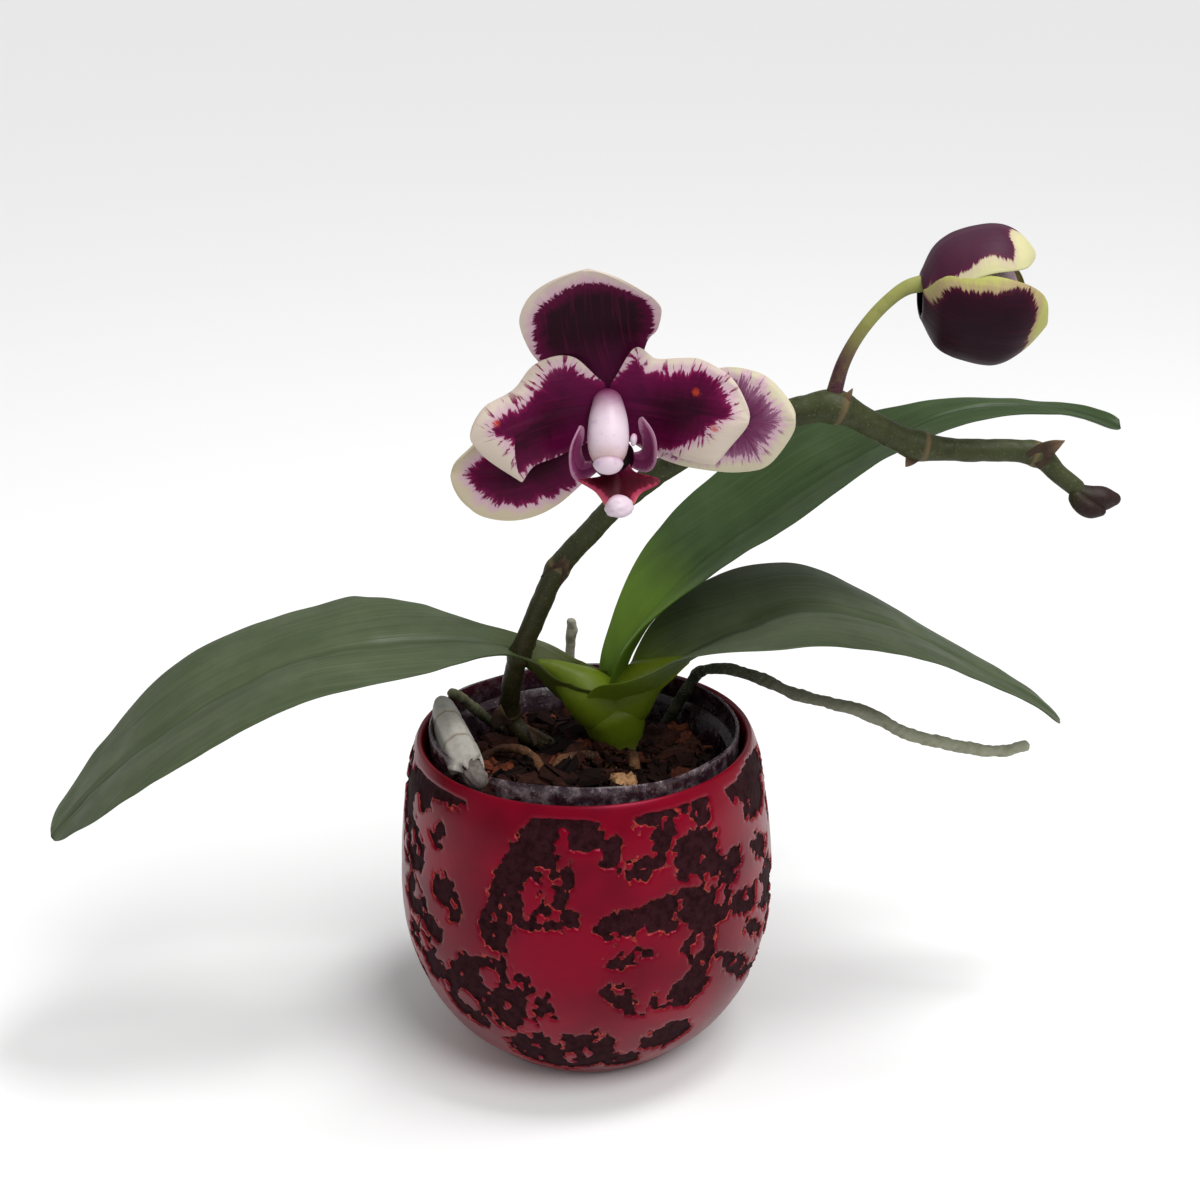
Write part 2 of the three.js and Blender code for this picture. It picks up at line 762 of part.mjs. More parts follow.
function place(name, solid, finish) {
  const mesh = new THREE.Mesh(geometryFrom(solid), new THREE.MeshStandardMaterial(FINISHES[finish]));
  mesh.name = name;
  plant.add(mesh);
  return solid;
}

const pot = place("pot", buildPot(), "red_glaze");
const liner = place("nursery_pot", buildLiner(), "clear_plastic");

const crown = place("crown", buildCrown(), "crown_green");
const spike = place("flower_spike", clearOf(buildSpike(), [crown]), "spike_green");
const upperLeaf = place("leaf_upper_right", clearOf(buildUpperRightLeaf(), [crown, spike]), "leaf_green");
const lowerLeaf = place(
  "leaf_lower_right",
  clearOf(buildLowerRightLeaf(), [crown, upperLeaf, spike]),
  "leaf_green",
);
const leftLeaf = place(
  "leaf_left",
  clearOf(buildLeftLeaf(), [crown, upperLeaf, lowerLeaf, spike]),
  "leaf_green",
);

const roots = [];
for (const [name, shape] of Object.entries(ROOTS)) {
  const finish = name.includes("arc") || name.includes("stub") ? "root_brown" : "root_green";
  const neighbours = [crown, spike, liner, pot, leftLeaf, lowerLeaf, ...roots];
  roots.push(place(name, clearOf(stalk(shape), neighbours), finish));
}
const sleeve = place("root_sleeve", clearOf(buildSleeve(), [liner, pot, ...roots]), "root_silver");
const sleeveCore = place(
  "root_sleeve_core",
  clearOf(buildSleeveCore(), [sleeve, liner, pot, ...roots]),
  "root_silver",
);
place("bark", buildBark([crown, spike, ...roots, sleeve, sleeveCore]), "bark");

const flowerPedicel = place("flower_pedicel", clearOf(buildFlowerPedicel(), [spike]), "pedicel_green");
const column = place("flower_column", buildColumn(), "column_white");
const lip = place("flower_lip", clearOf(buildLip(), [column, spike]), "petal_purple");
const sepals = [];
for (const [name, build] of [
  ["flower_dorsal_sepal", buildDorsalSepal],
  ["flower_left_sepal", buildLeftSepal],
  ["flower_right_sepal", buildRightSepal],
]) {
  const neighbours = [flowerPedicel, column, lip, spike, ...sepals];
  sepals.push(place(name, clearOf(build(), neighbours), "petal_purple"));
}
const petalNeighbours = [flowerPedicel, column, lip, spike, ...sepals];
const leftPetal = place("flower_left_petal", clearOf(buildLeftPetal(), petalNeighbours), "petal_purple");
place("flower_right_petal", clearOf(buildRightPetal(), [...petalNeighbours, leftPetal]), "petal_purple");

const budPedicel = place("bud_pedicel", clearOf(buildBudPedicel(), [spike]), "pedicel_green");
const budParts = [budPedicel];
const budSpread = [0.85, 1, 1.02, 1, 0.96, 0.88, 0.5];
for (const [name, shape] of Object.entries({
  bud_upper_sepal: { around: 0, spread: budSpread, reach: 0.9 },
  bud_front_sepal: { around: 0.67 * Math.PI, spread: budSpread, reach: 1 },
  bud_back_sepal: { around: -0.67 * Math.PI, spread: budSpread, reach: 0.92 },
})) {
  budParts.push(place(name, clearOf(buildBudSepal(shape), budParts), "bud_purple"));
}
place("bud_petals", clearOf(buildBudCore(), budParts), "petal_pale");

export default plant;
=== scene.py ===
"""A potted moth orchid with one open flower and one bud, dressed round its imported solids.

Lengths in this script are millimetres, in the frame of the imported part: +Z up, the origin in the
middle of the pot's foot and -Y to the front. They become metres when a mesh is written.
"""

import logging
import math
from collections.abc import Callable, Sequence
from dataclasses import dataclass, field
from enum import Enum

import bpy
import numpy as np
from mathutils import Matrix, Vector


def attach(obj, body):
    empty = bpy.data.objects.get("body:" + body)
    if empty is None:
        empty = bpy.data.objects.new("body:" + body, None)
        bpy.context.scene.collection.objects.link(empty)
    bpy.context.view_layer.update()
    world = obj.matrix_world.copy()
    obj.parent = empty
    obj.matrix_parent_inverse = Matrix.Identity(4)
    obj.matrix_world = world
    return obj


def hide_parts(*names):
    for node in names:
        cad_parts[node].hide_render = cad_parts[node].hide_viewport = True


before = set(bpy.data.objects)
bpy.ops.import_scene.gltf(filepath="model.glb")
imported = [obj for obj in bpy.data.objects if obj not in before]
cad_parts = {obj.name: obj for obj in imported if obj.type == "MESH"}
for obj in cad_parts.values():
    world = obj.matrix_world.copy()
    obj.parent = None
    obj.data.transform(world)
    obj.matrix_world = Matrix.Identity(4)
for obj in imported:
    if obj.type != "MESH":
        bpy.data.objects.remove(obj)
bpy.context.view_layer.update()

LOG = logging.getLogger("orchid")
METRES = 0.001
BODY = "root"
TO_FRONT = (0.0, -1.0, 0.15)

Array = np.ndarray
Colour = tuple[int, int, int]
Point = tuple[float, float, float]
Socket = bpy.types.NodeSocket


class Slot(Enum):
    """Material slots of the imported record."""

    RED_GLAZE = "red_glaze"
    CLEAR_PLASTIC = "clear_plastic"
    BARK = "bark"
    CROWN_GREEN = "crown_green"
    LEAF_GREEN = "leaf_green"
    SPIKE_GREEN = "spike_green"
    PEDICEL_GREEN = "pedicel_green"
    PETAL_PURPLE = "petal_purple"
    COLUMN_WHITE = "column_white"
    BUD_PURPLE = "bud_purple"
    PETAL_PALE = "petal_pale"
    ROOT_GREEN = "root_green"
    ROOT_BROWN = "root_brown"
    ROOT_SILVER = "root_silver"


# Numbers along lines and in space


def along(values: Sequence[float], share: Array) -> Array:
    """Reads a smooth curve through evenly spaced values.

    Args:
        values: The values, from the start to the end.
        share: Where to read, 0 at the start and 1 at the end.

    Returns:
        The value at each share.
    """
    known = np.asarray(values, float)
    last = len(known) - 1
    position = np.clip(np.asarray(share, float), 0, 1) * last
    cell = np.minimum(position.astype(int), last)
    step = position - cell
    before, here = known[np.maximum(cell - 1, 0)], known[cell]
    after, beyond = known[np.minimum(cell + 1, last)], known[np.minimum(cell + 2, last)]
    leave, arrive = (after - before) / 2, (beyond - here) / 2
    cubic = (2 * here - 2 * after + leave + arrive) * step**3
    square = (3 * after - 3 * here - 2 * leave - arrive) * step**2
    return cubic + square + leave * step + here


def smooth_step(value: Array, low: float, high: float) -> Array:
    """Rises smoothly from 0 at low to 1 at high."""
    share = np.clip((value - low) / (high - low), 0, 1)
    return share * share * (3 - 2 * share)


def unit(vectors: Array) -> Array:
    """Scales each vector to length 1."""
    return vectors / np.linalg.norm(vectors, axis=-1, keepdims=True)


def rounded(share: Array, start: float, end: float) -> Array:
    """Gives what is left of a width towards two rounded ends.

    Args:
        share: Place along the piece, 0 to 1.
        start: Length of the rounding at 0, as a share.
        end: Length of the rounding at 1, as a share.

    Returns:
        A factor from 0 at the very ends to 1 between the roundings.
    """
    near_start = 1 - np.clip(share / start, 0, 1)
    near_end = 1 - np.clip((1 - share) / end, 0, 1)
    return np.sqrt((1 - near_start**2) * (1 - near_end**2))


class Ripple:
    """Smooth seeded noise in space, mostly between -1 and 1: waves in many directions, added up."""

    def __init__(self, seed: int, size: float, waves: int = 18) -> None:
        """Draws the waves.

        Args:
            seed: Seed of the draw.
            size: Typical wave length, in millimetres.
            waves: How many waves are added.
        """
        draw = np.random.default_rng(seed)
        heading = unit(draw.normal(size=(waves, 3)))
        pace = 2 * math.pi / size * draw.uniform(0.55, 1.6, (waves, 1))
        self.heading = (heading * pace).T
        self.phase = draw.uniform(0, 2 * math.pi, waves)
        self.gain = 1 / math.sqrt(waves)

    def __call__(self, points: Array) -> Array:
        """Reads the noise at points, an array of rows of three numbers."""
        return np.sin(points @ self.heading + self.phase).sum(axis=1) * self.gain


class Route:
    """A smooth centripetal curve through points, read by share of its length."""

    STEPS = 48

    def __init__(self, points: Sequence[Point]) -> None:
        """Samples the curve finely.

        Args:
            points: What the curve passes through, in order.
        """
        given = np.asarray(points, float)
        padded = np.vstack([2 * given[0] - given[1], given, 2 * given[-1] - given[-2]])
        step = (np.arange(self.STEPS) / self.STEPS)[:, None]
        stretches = [self._stretch(*padded[i : i + 4], step) for i in range(len(given) - 1)]
        self.points = np.vstack([*stretches, given[-1:]])
        self.place = np.linspace(0, 1, len(self.points))
        gaps = np.linalg.norm(np.diff(self.points, axis=0), axis=1)
        self.distance = np.concatenate([[0], np.cumsum(gaps)])
        self.length = float(self.distance[-1])

    @staticmethod
    def _stretch(before: Array, here: Array, after: Array, beyond: Array, step: Array) -> Array:
        """Samples the stretch of the curve between two neighbouring points."""
        gaps = [math.sqrt(np.linalg.norm(b - a)) for a, b in ((before, here), (here, after), (after, beyond))]
        first, middle, last = gaps
        leave = (here - before) / first - (after - before) / (first + middle) + (after - here) / middle
        arrive = (after - here) / middle - (beyond - here) / (middle + last) + (beyond - after) / last
        leave, arrive = leave * middle, arrive * middle
        cubic = (2 * here - 2 * after + leave + arrive) * step**3
        square = (3 * after - 3 * here - 2 * leave - arrive) * step**2
        return cubic + square + leave * step + here

    def _read(self, values: Array, share: Array, even: bool) -> Array:
        """Reads rows of values at shares of the length, or of the list of points."""
        known = self.distance / self.length if even else self.place
        return np.stack([np.interp(share, known, values[:, k]) for k in range(3)], axis=-1)

    def at(self, share: Array, even: bool = True) -> Array:
        """Gives the points at shares along the curve."""
        return self._read(self.points, share, even)

    def heading(self, share: Array, even: bool = True) -> Array:
        """Gives the directions at shares along the curve, each of length 1."""
        return unit(self._read(np.gradient(self.points, axis=0), share, even))

    def share_near(self, point: Point) -> float:
        """Gives the share of the length at which the curve passes nearest to a point."""
        nearest = np.linalg.norm(self.points - np.asarray(point), axis=1).argmin()
        return float(self.distance[nearest] / self.length)

    def crosswise(self, share: Array) -> tuple[Array, Array]:
        """Carries two crosswise directions along the curve without twist.

        Args:
            share: Shares of the length, in rising order.

        Returns:
            Two arrays of directions, at right angles to the curve and to each other.
        """
        heading = self.heading(share)
        start = np.cross(heading[0], (0, 1, 0) if abs(heading[0][1]) < 0.9 else (1, 0, 0))
        carried = [unit(start)]
        for direction in heading[1:]:
            kept = carried[-1] - direction * (carried[-1] @ direction)
            carried.append(unit(kept))
        first = np.array(carried)
        return first, np.cross(heading, first)


# Meshes


def deselect() -> None:
    """Leaves edit mode and deselects everything."""
    if bpy.context.object and bpy.context.object.mode != "OBJECT":
        bpy.ops.object.mode_set(mode="OBJECT")
    bpy.ops.object.select_all(action="DESELECT")


def read_points(piece: bpy.types.Object) -> Array:
    """Reads a mesh's corners as rows of three numbers, in millimetres."""
    flat = np.zeros(len(piece.data.vertices) * 3, np.float32)
    piece.data.vertices.foreach_get("co", flat)
    return flat.reshape(-1, 3).astype(float) / METRES


def write_points(piece: bpy.types.Object, points: Array) -> None:
    """Writes a mesh's corners from rows of three numbers, in millimetres."""
    piece.data.vertices.foreach_set("co", (points * METRES).astype(np.float32).ravel())
    piece.data.update()


def write_value(piece: bpy.types.Object, name: str, values: Array) -> None:
    """Keeps one number for each corner of a mesh, for its material to read."""
    layer = piece.data.attributes.get(name) or piece.data.attributes.new(name, "FLOAT", "POINT")
    layer.data.foreach_set("value", np.broadcast_to(values, len(piece.data.vertices)).astype(np.float32))


def edit(piece: bpy.types.Object) -> None:
    """Selects one piece alone, with all its mesh, in edit mode."""
    deselect()
    bpy.context.view_layer.objects.active = piece
    piece.select_set(True)
    bpy.ops.object.mode_set(mode="EDIT")
    bpy.ops.mesh.select_all(action="SELECT")


def face_outwards(piece: bpy.types.Object, merge: bool = False) -> None:
    """Turns all faces outwards, after merging doubled corners where asked."""
    edit(piece)
    if merge:
        bpy.ops.mesh.remove_doubles(threshold=1e-6)
    bpy.ops.mesh.normals_make_consistent(inside=False)
    bpy.ops.object.mode_set(mode="OBJECT")


def smooth(piece: bpy.types.Object, angle: float | None = None) -> None:
    """Shades a piece smooth, all over or only across edges below an angle in degrees."""
    deselect()
    bpy.context.view_layer.objects.active = piece
    piece.select_set(True)
    if angle is None:
        bpy.ops.object.shade_smooth()
    else:
        bpy.ops.object.shade_smooth_by_angle(angle=math.radians(angle))


def join(pieces: list[bpy.types.Object], name: str) -> bpy.types.Object:
    """Joins several pieces into one, under a new name."""
    deselect()
    for piece in pieces:
        piece.select_set(True)
    bpy.context.view_layer.objects.active = pieces[0]
    bpy.ops.object.join()
    pieces[0].name = name
    return pieces[0]


def settle(piece: bpy.types.Object, material: bpy.types.Material, slot: Slot, *nodes: str) -> bpy.types.Object:
    """Dresses a finished piece and fixes it to the part.

    Args:
        piece: The finished piece.
        material: What covers it.
        slot: The record's slot that its finish belongs to; not used.
        nodes: The solids that it stands for.

    Returns:
        The piece.
    """
    piece.data.materials.clear()
    piece.data.materials.append(material)
    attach(piece, BODY)
    if nodes:
        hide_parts(*nodes)
    LOG.info("%s: %d faces", piece.name, len(piece.data.polygons))
    return piece


def ball(name: str, rings: int, segments: int) -> tuple[bpy.types.Object, Array, Array]:
    """Adds a ball to be shaped into a closed tube or blade.

    Args:
        name: Name of the new piece.
        rings: Rings of faces from pole to pole.
        segments: Faces round each ring.

    Returns:
        The ball, and for each corner its share of the way from pole to pole and its angle round.
    """
    deselect()
    bpy.ops.mesh.primitive_uv_sphere_add(segments=segments, ring_count=rings, radius=1.0)
    piece = bpy.context.object
    piece.name = name
    corners = read_points(piece) * METRES
    share = np.arccos(np.clip(corners[:, 2], -1, 1)) / math.pi
    angle = np.arctan2(corners[:, 1], corners[:, 0])
    return piece, np.round(share * rings) / rings, angle


def spun(name: str, profile: Array, steps: int) -> bpy.types.Object:
    """Turns a profile about the Z axis into a closed body.

    Args:
        name: Name of the new piece.
        profile: Rows of radius and height from the axis round to the axis again.
        steps: Faces round the body.

    Returns:
        The new piece.
    """
    deselect()
    bpy.ops.mesh.primitive_plane_add(size=METRES)
    piece = bpy.context.object
    piece.name = name
    edit(piece)
    bpy.ops.mesh.merge(type="CENTER")
    start = Vector((profile[0][0], 0, profile[0][1])) * METRES
    bpy.ops.transform.translate(value=start)
    for (radius, height), (next_radius, next_height) in zip(profile[:-1], profile[1:]):
        move = Vector((next_radius - radius, 0, next_height - height)) * METRES
        bpy.ops.mesh.extrude_region_move(TRANSFORM_OT_translate={"value": move})
    bpy.ops.mesh.select_all(action="SELECT")
    bpy.ops.mesh.spin(steps=steps, angle=2 * math.pi, center=(0, 0, 0), axis=(0, 0, 1))
    bpy.ops.object.mode_set(mode="OBJECT")
    face_outwards(piece, merge=True)
    return piece


@dataclass(frozen=True)
class Knot:
    """A swelling on a stalk: where it is, how far it stands out and how far it reaches."""

    place: Point
    height: float
    reach: float


@dataclass(frozen=True)
class Stalk:
    """A round stem or root along a smooth path, with evenly spaced radii and rounded ends."""

    path: Sequence[Point]
    radii: Sequence[float]
    rings: int = 60
    segments: int = 16
    knots: Sequence[Knot] = ()
    grain: float = 0.0
    grain_size: float = 6.0
    flute: float = 0.0
    flutes: int = 5
    flat: float = 0.0
    bands: Sequence[Point] = ()
    band_width: float = 0.6

    def build(self, name: str, seed: int = 1) -> bpy.types.Object:
        """Makes the stalk, with its distance and share along kept on its corners.

        Args:
            name: Name of the new piece.
            seed: Seed of its unevenness.

        Returns:
            The new piece.
        """
        route = Route(self.path)
        piece, share, angle = ball(name, self.rings, self.segments)
        ends = along(self.radii, np.array([0.0, 1.0])) / route.length
        stops = np.linspace(0, 1, self.rings + 1)
        stops = 0.75 * stops + 0.25 * (0.5 - 0.5 * np.cos(math.pi * stops))
        ring = np.round((1 - share) * self.rings).astype(int)
        first, second = route.crosswise(stops)
        radius = along(self.radii, stops) * rounded(stops, *np.maximum(ends, 1e-3))
        for knot in self.knots:
            away = (stops - route.share_near(knot.place)) * route.length / knot.reach
            radius = radius + knot.height * np.exp(-(away**2))
        centre = route.at(stops)
        radius = radius[ring] * (1 + self.flute * np.cos(self.flutes * angle))
        outwards = first[ring] * np.cos(angle)[:, None]
        outwards = outwards + second[ring] * (np.sin(angle) * (1 - self.flat))[:, None]
        points = centre[ring] + outwards * radius[:, None]
        if self.grain:
            coarse = Ripple(seed, self.grain_size)(points)
            uneven = coarse + 0.5 * Ripple(seed + 1, self.grain_size / 3)(points)
            ends = rounded(stops, 0.02, 0.02)[ring][:, None]
            points = points + outwards * (self.grain * uneven)[:, None] * ends
        write_points(piece, points)
        face_outwards(piece)
        write_value(piece, "share", stops[ring])
        write_value(piece, "distance", stops[ring] * route.length)
        band = np.zeros_like(stops)
        for place in self.bands:
            away = (stops - route.share_near(place)) * route.length / self.band_width
            band = np.maximum(band, np.exp(-(away**2)))
        write_value(piece, "band", band[ring])
        smooth(piece)
        return piece


@dataclass(frozen=True)
class Blade:
    """A thin leaf, sepal or petal along a smooth path.

    face is the way its upper side looks. minus and plus are its half widths to each side of the
    path, fold lifts both sides into a channel, and wrap bends each side down through an arc of that
    many radians, all evenly spaced along it. edge is the thickness near its margins as a share of
    that at its middle. Places along it are even, or follow the path's own points. A level blade
    bends straight away from its face, and others bend square to their path.
    """

    path: Sequence[Point]
    face: Point
    minus: Sequence[float]
    plus: Sequence[float] = ()
    fold: Sequence[float] = (0.0,)
    wrap: Sequence[float] = (0.0,)
    thickness: Sequence[float] = (1.0,)
    edge: float = 0.6
    base_round: float = 0.01
    tip_round: float = 0.03
    crease: float = 0.08
    even: bool = True
    level: bool = False
    rings: int = 160
    segments: int = 96

    def half_width(self, across: Array, share: Array) -> Array:
        """Gives the half width on the side of the path where each place lies."""
        wide = np.where(across < 0, along(self.minus, share), along(self.plus or self.minus, share))
        return wide * rounded(share, self.base_round, self.tip_round)

    def place(self, across: Array, share: Array, lift: Array | float = 0.0) -> Array:
        """Finds points on the blade.

        Args:
            across: Place across it, from -1 at one margin to 1 at the other.
            share: Place along it, 0 to 1.
            lift: Height above its middle surface.

        Returns:
            Rows of three numbers.
        """
        route = Route(self.path)
        heading = route.heading(share, self.even)
        side = unit(np.cross(heading, self.face))
        normal = np.broadcast_to(self.face, side.shape) if self.level else np.cross(side, heading)
        wide = self.half_width(across, share)
        arc = along(self.wrap, share)
        arc = np.where(np.abs(arc) < 1e-3, 1e-3, arc)
        reach = wide * np.sin(arc * across) / arc
        rest = math.sqrt(1 + self.crease**2) - self.crease
        valley = (np.sqrt(across**2 + self.crease**2) - self.crease) / rest
        rise = wide * along(self.fold, share) * valley - wide * (1 - np.cos(arc * across)) / arc
        return route.at(share, self.even) + side * reach[:, None] + normal * (rise + lift)[:, None]

    def build(
        self,
        name: str,
        relief: Callable[[Array, Array, Array], Array] | None = None,
    ) -> tuple[bpy.types.Object, Array, Array, Array]:
        """Makes the blade as a closed body with round margins.

        Args:
            name: Name of the new piece.
            relief: Extra height of both faces, from place across, share along and upper side.

        Returns:
            The new piece, and for each corner its place across, its share along and whether it is
            on the upper side, from -1 to 1.
        """
        piece, down, angle = ball(name, self.rings, self.segments)
        share = 0.6 * down + 0.4 * (0.5 - 0.5 * np.cos(math.pi * down))
        across = np.cos(angle)
        upper = np.sign(np.sin(angle)) * np.abs(np.sin(angle)) ** 0.4
        thick = along(self.thickness, share) * (1 - (1 - self.edge) * across**2) / 2
        thick = thick * rounded(share, self.base_round, self.tip_round) ** 0.7
        lift = thick * upper
        if relief is not None:
            lift = lift + relief(across, share, upper)
        write_points(piece, self.place(across, share, lift))
        face_outwards(piece)
        write_value(piece, "across", across * self.half_width(across, share))
        write_value(piece, "share", share)
        write_value(piece, "distance", share * Route(self.path).length)
        write_value(piece, "upper", 0.5 + 0.5 * upper)
        smooth(piece)
        return piece, across, share, upper

    def to_margin(self, across: Array, share: Array) -> tuple[Array, Array, Array]:
        """Measures each place's distance to the margin, on the blade laid flat.

        Args:
            across: Place across it, from -1 to 1.
            share: Place along it, 0 to 1.

        Returns:
            The distance to the margin, the length along the margin to the nearest place on it, and
            that length as a share, from the base on the minus side round the tip to the plus side.
        """
        length = Route(self.path).length
        stops = np.linspace(0.03, 1, 160)
        minus = -self.half_width(np.full_like(stops, -1.0), stops)
        plus = self.half_width(np.full_like(stops, 1.0), stops)
        x = np.concatenate([minus, plus[::-1]])
        y = np.concatenate([stops, stops[::-1]]) * length
        travelled = np.concatenate([[0], np.cumsum(np.hypot(np.diff(x), np.diff(y)))])
        here = np.stack([across * self.half_width(across, share), share * length], axis=-1)
        away = np.hypot(here[:, :1] - x[None, :], here[:, 1:] - y[None, :])
        nearest = away.argmin(axis=1)
        return away.min(axis=1), travelled[nearest], travelled[nearest] / travelled[-1]


# Materials


def paint(colour: Colour) -> tuple[float, float, float, float]:
    """Turns a display colour, 0 to 255, into a shader's linear colour."""
    shares = [c / 255 for c in colour]
    linear = [s / 12.92 if s <= 0.04045 else ((s + 0.055) / 1.055) ** 2.4 for s in shares]
    return (*linear, 1.0)


class Recipe:
    """One node material, built up step by step on a principled shader."""

    def __init__(self, name: str, **settings: float | tuple[float, ...]) -> None:
        """Starts the material.

        Args:
            name: Name of the material.
            settings: Shader inputs that are the same all over, with _ for a space.
        """
        self.material = bpy.data.materials.new(name)
        self.material.use_nodes = True
        self.nodes = self.material.node_tree.nodes
        self.links = self.material.node_tree.links
        self.nodes.clear()
        self.shader = self.nodes.new("ShaderNodeBsdfPrincipled")
        output = self.nodes.new("ShaderNodeOutputMaterial")
        self.links.new(self.shader.outputs["BSDF"], output.inputs["Surface"])
        self.object = self.nodes.new("ShaderNodeTexCoord").outputs["Object"]
        for key, value in settings.items():
            self.shader.inputs[key.replace("_", " ")].default_value = value

    def _feed(self, target: Socket, value: Socket | float | tuple[float, ...]) -> None:
        """Links a socket to a target, or sets the target to a constant."""
        if isinstance(value, bpy.types.NodeSocket):
            self.links.new(value, target)
        else:
            target.default_value = value

    def to(self, name: str, value: Socket) -> None:
        """Links a varying value to one of the shader's inputs."""
        self.links.new(value, self.shader.inputs[name])

    def value(self, name: str) -> Socket:
        """Reads a number kept on the mesh."""
        node = self.nodes.new("ShaderNodeAttribute")
        node.attribute_name = name
        return node.outputs["Fac"]

    def axis(self, name: str) -> Socket:
        """Reads the X, Y or Z coordinate, in metres."""
        node = self.nodes.new("ShaderNodeSeparateXYZ")
        self.links.new(self.object, node.inputs[0])
        return node.outputs[name]

    def distance(self, place: Point) -> Socket:
        """Measures the distance to a place given in millimetres, in metres."""
        node = self.nodes.new("ShaderNodeVectorMath")
        node.operation = "DISTANCE"
        self.links.new(self.object, node.inputs[0])
        node.inputs[1].default_value = [METRES * c for c in place]
        return node.outputs["Value"]

    def math(self, kind: str, first: Socket | float, second: Socket | float = 0.0) -> Socket:
        """Adds a sum of the named kind."""
        node = self.nodes.new("ShaderNodeMath")
        node.operation = kind
        self._feed(node.inputs[0], first)
        self._feed(node.inputs[1], second)
        return node.outputs[0]

    def times(self, first: Socket | float, second: Socket | float) -> Socket:
        """Multiplies two values."""
        return self.math("MULTIPLY", first, second)

    def plus(self, first: Socket | float, second: Socket | float) -> Socket:
        """Adds two values."""
        return self.math("ADD", first, second)

    def step(self, value: Socket, low: float, high: float) -> Socket:
        """Rises smoothly from 0 at low to 1 at high, or falls where low is the higher."""
        node = self.nodes.new("ShaderNodeMapRange")
        node.interpolation_type = "SMOOTHSTEP"
        self.links.new(value, node.inputs["Value"])
        turned = low > high
        node.inputs["From Min"].default_value = min(low, high)
        node.inputs["From Max"].default_value = max(low, high)
        node.inputs["To Min"].default_value = 1.0 if turned else 0.0
        node.inputs["To Max"].default_value = 0.0 if turned else 1.0
        return node.outputs["Result"]

    def point(self, x: Socket | float, y: Socket | float = 0.0, z: Socket | float = 0.0) -> Socket:
        """Combines three values into a place for a pattern."""
        node = self.nodes.new("ShaderNodeCombineXYZ")
        for target, value in zip(node.inputs, (x, y, z)):
            self._feed(target, value)
        return node.outputs[0]

    def noise(
        self, size: float, detail: float = 3.0, rough: float = 0.55, where: Socket | None = None
    ) -> Socket:
        """Adds noise with features of about a size in millimetres, or in its own place's units.

        Args:
            size: Size of its features.
            detail: How many finer layers it has.
            rough: How strong those layers are.
            where: The place to read it at, the object's own coordinates if not given.

        Returns:
            A value round 0.5.
        """
        node = self.nodes.new("ShaderNodeTexNoise")
        self.links.new(where or self.object, node.inputs["Vector"])
        node.inputs["Scale"].default_value = (1 / size) if where else 1 / (size * METRES)
        node.inputs["Detail"].default_value = detail
        node.inputs["Roughness"].default_value = rough
        return node.outputs["Fac"]

    def swing(self, value: Socket, reach: float) -> Socket:
        """Turns a value round 0.5 into one round 0, times a reach."""
        return self.times(self.plus(value, -0.5), reach)

    def streaks(
        self,
        across: Socket,
        down: Socket,
        scale: tuple[float, float],
        layer: float = 0.0,
        detail: float = 2.0,
        rough: float = 0.5,
    ) -> Socket:
        """Adds noise drawn out along a surface, read from two lengths kept on the mesh.

        Args:
            across: The length across the streaks.
            down: The length along them.
            scale: Features in a millimetre, across and along.
            layer: Which of many such patterns is read.
            detail: How many finer layers it has.
            rough: How strong those layers are.

        Returns:
            A value round 0.5.
        """
        place = self.point(self.times(across, scale[0]), self.times(down, scale[1]), layer)
        return self.noise(1.0, detail, rough, place)

    def cells(self, size: float) -> Socket:
        """Adds rounded cells of about a size in millimetres, 0 at their middles."""
        node = self.nodes.new("ShaderNodeTexVoronoi")
        self.links.new(self.object, node.inputs["Vector"])
        node.inputs["Scale"].default_value = 1 / (size * METRES)
        return node.outputs["Distance"]

    def mix(self, share: Socket | float, first: Socket | Colour, second: Socket | Colour) -> Socket:
        """Blends two colours.

        Args:
            share: How much of the second colour there is, 0 to 1.
            first: A socket or a display colour.
            second: A socket or a display colour.

        Returns:
            The blended colour.
        """
        node = self.nodes.new("ShaderNodeMix")
        node.data_type = "RGBA"
        self._feed(node.inputs["Factor"], share)
        for target, colour in ((node.inputs[6], first), (node.inputs[7], second)):
            self._feed(target, paint(colour) if isinstance(colour, tuple) else colour)
        return node.outputs[2]

    def scaled(self, value: Socket, low: float, high: float) -> Socket:
        """Spreads a value from 0 to 1 over a range."""
        return self.plus(self.times(value, high - low), low)

    def bump(self, height: Socket, distance: float, strength: float = 1.0) -> None:
        """Adds fine relief below the size of the mesh.

        Args:
            height: The height, 0 to 1.
            distance: What a height of 1 is, in millimetres.
            strength: How strongly it shows.
        """
        node = self.nodes.new("ShaderNodeBump")
        node.inputs["Distance"].default_value = distance * METRES
        node.inputs["Strength"].default_value = strength
        self.links.new(height, node.inputs["Height"])
        before = self.shader.inputs["Normal"]
        if before.is_linked:
            self.links.new(before.links[0].from_socket, node.inputs["Normal"])
        self.links.new(node.outputs["Normal"], before)


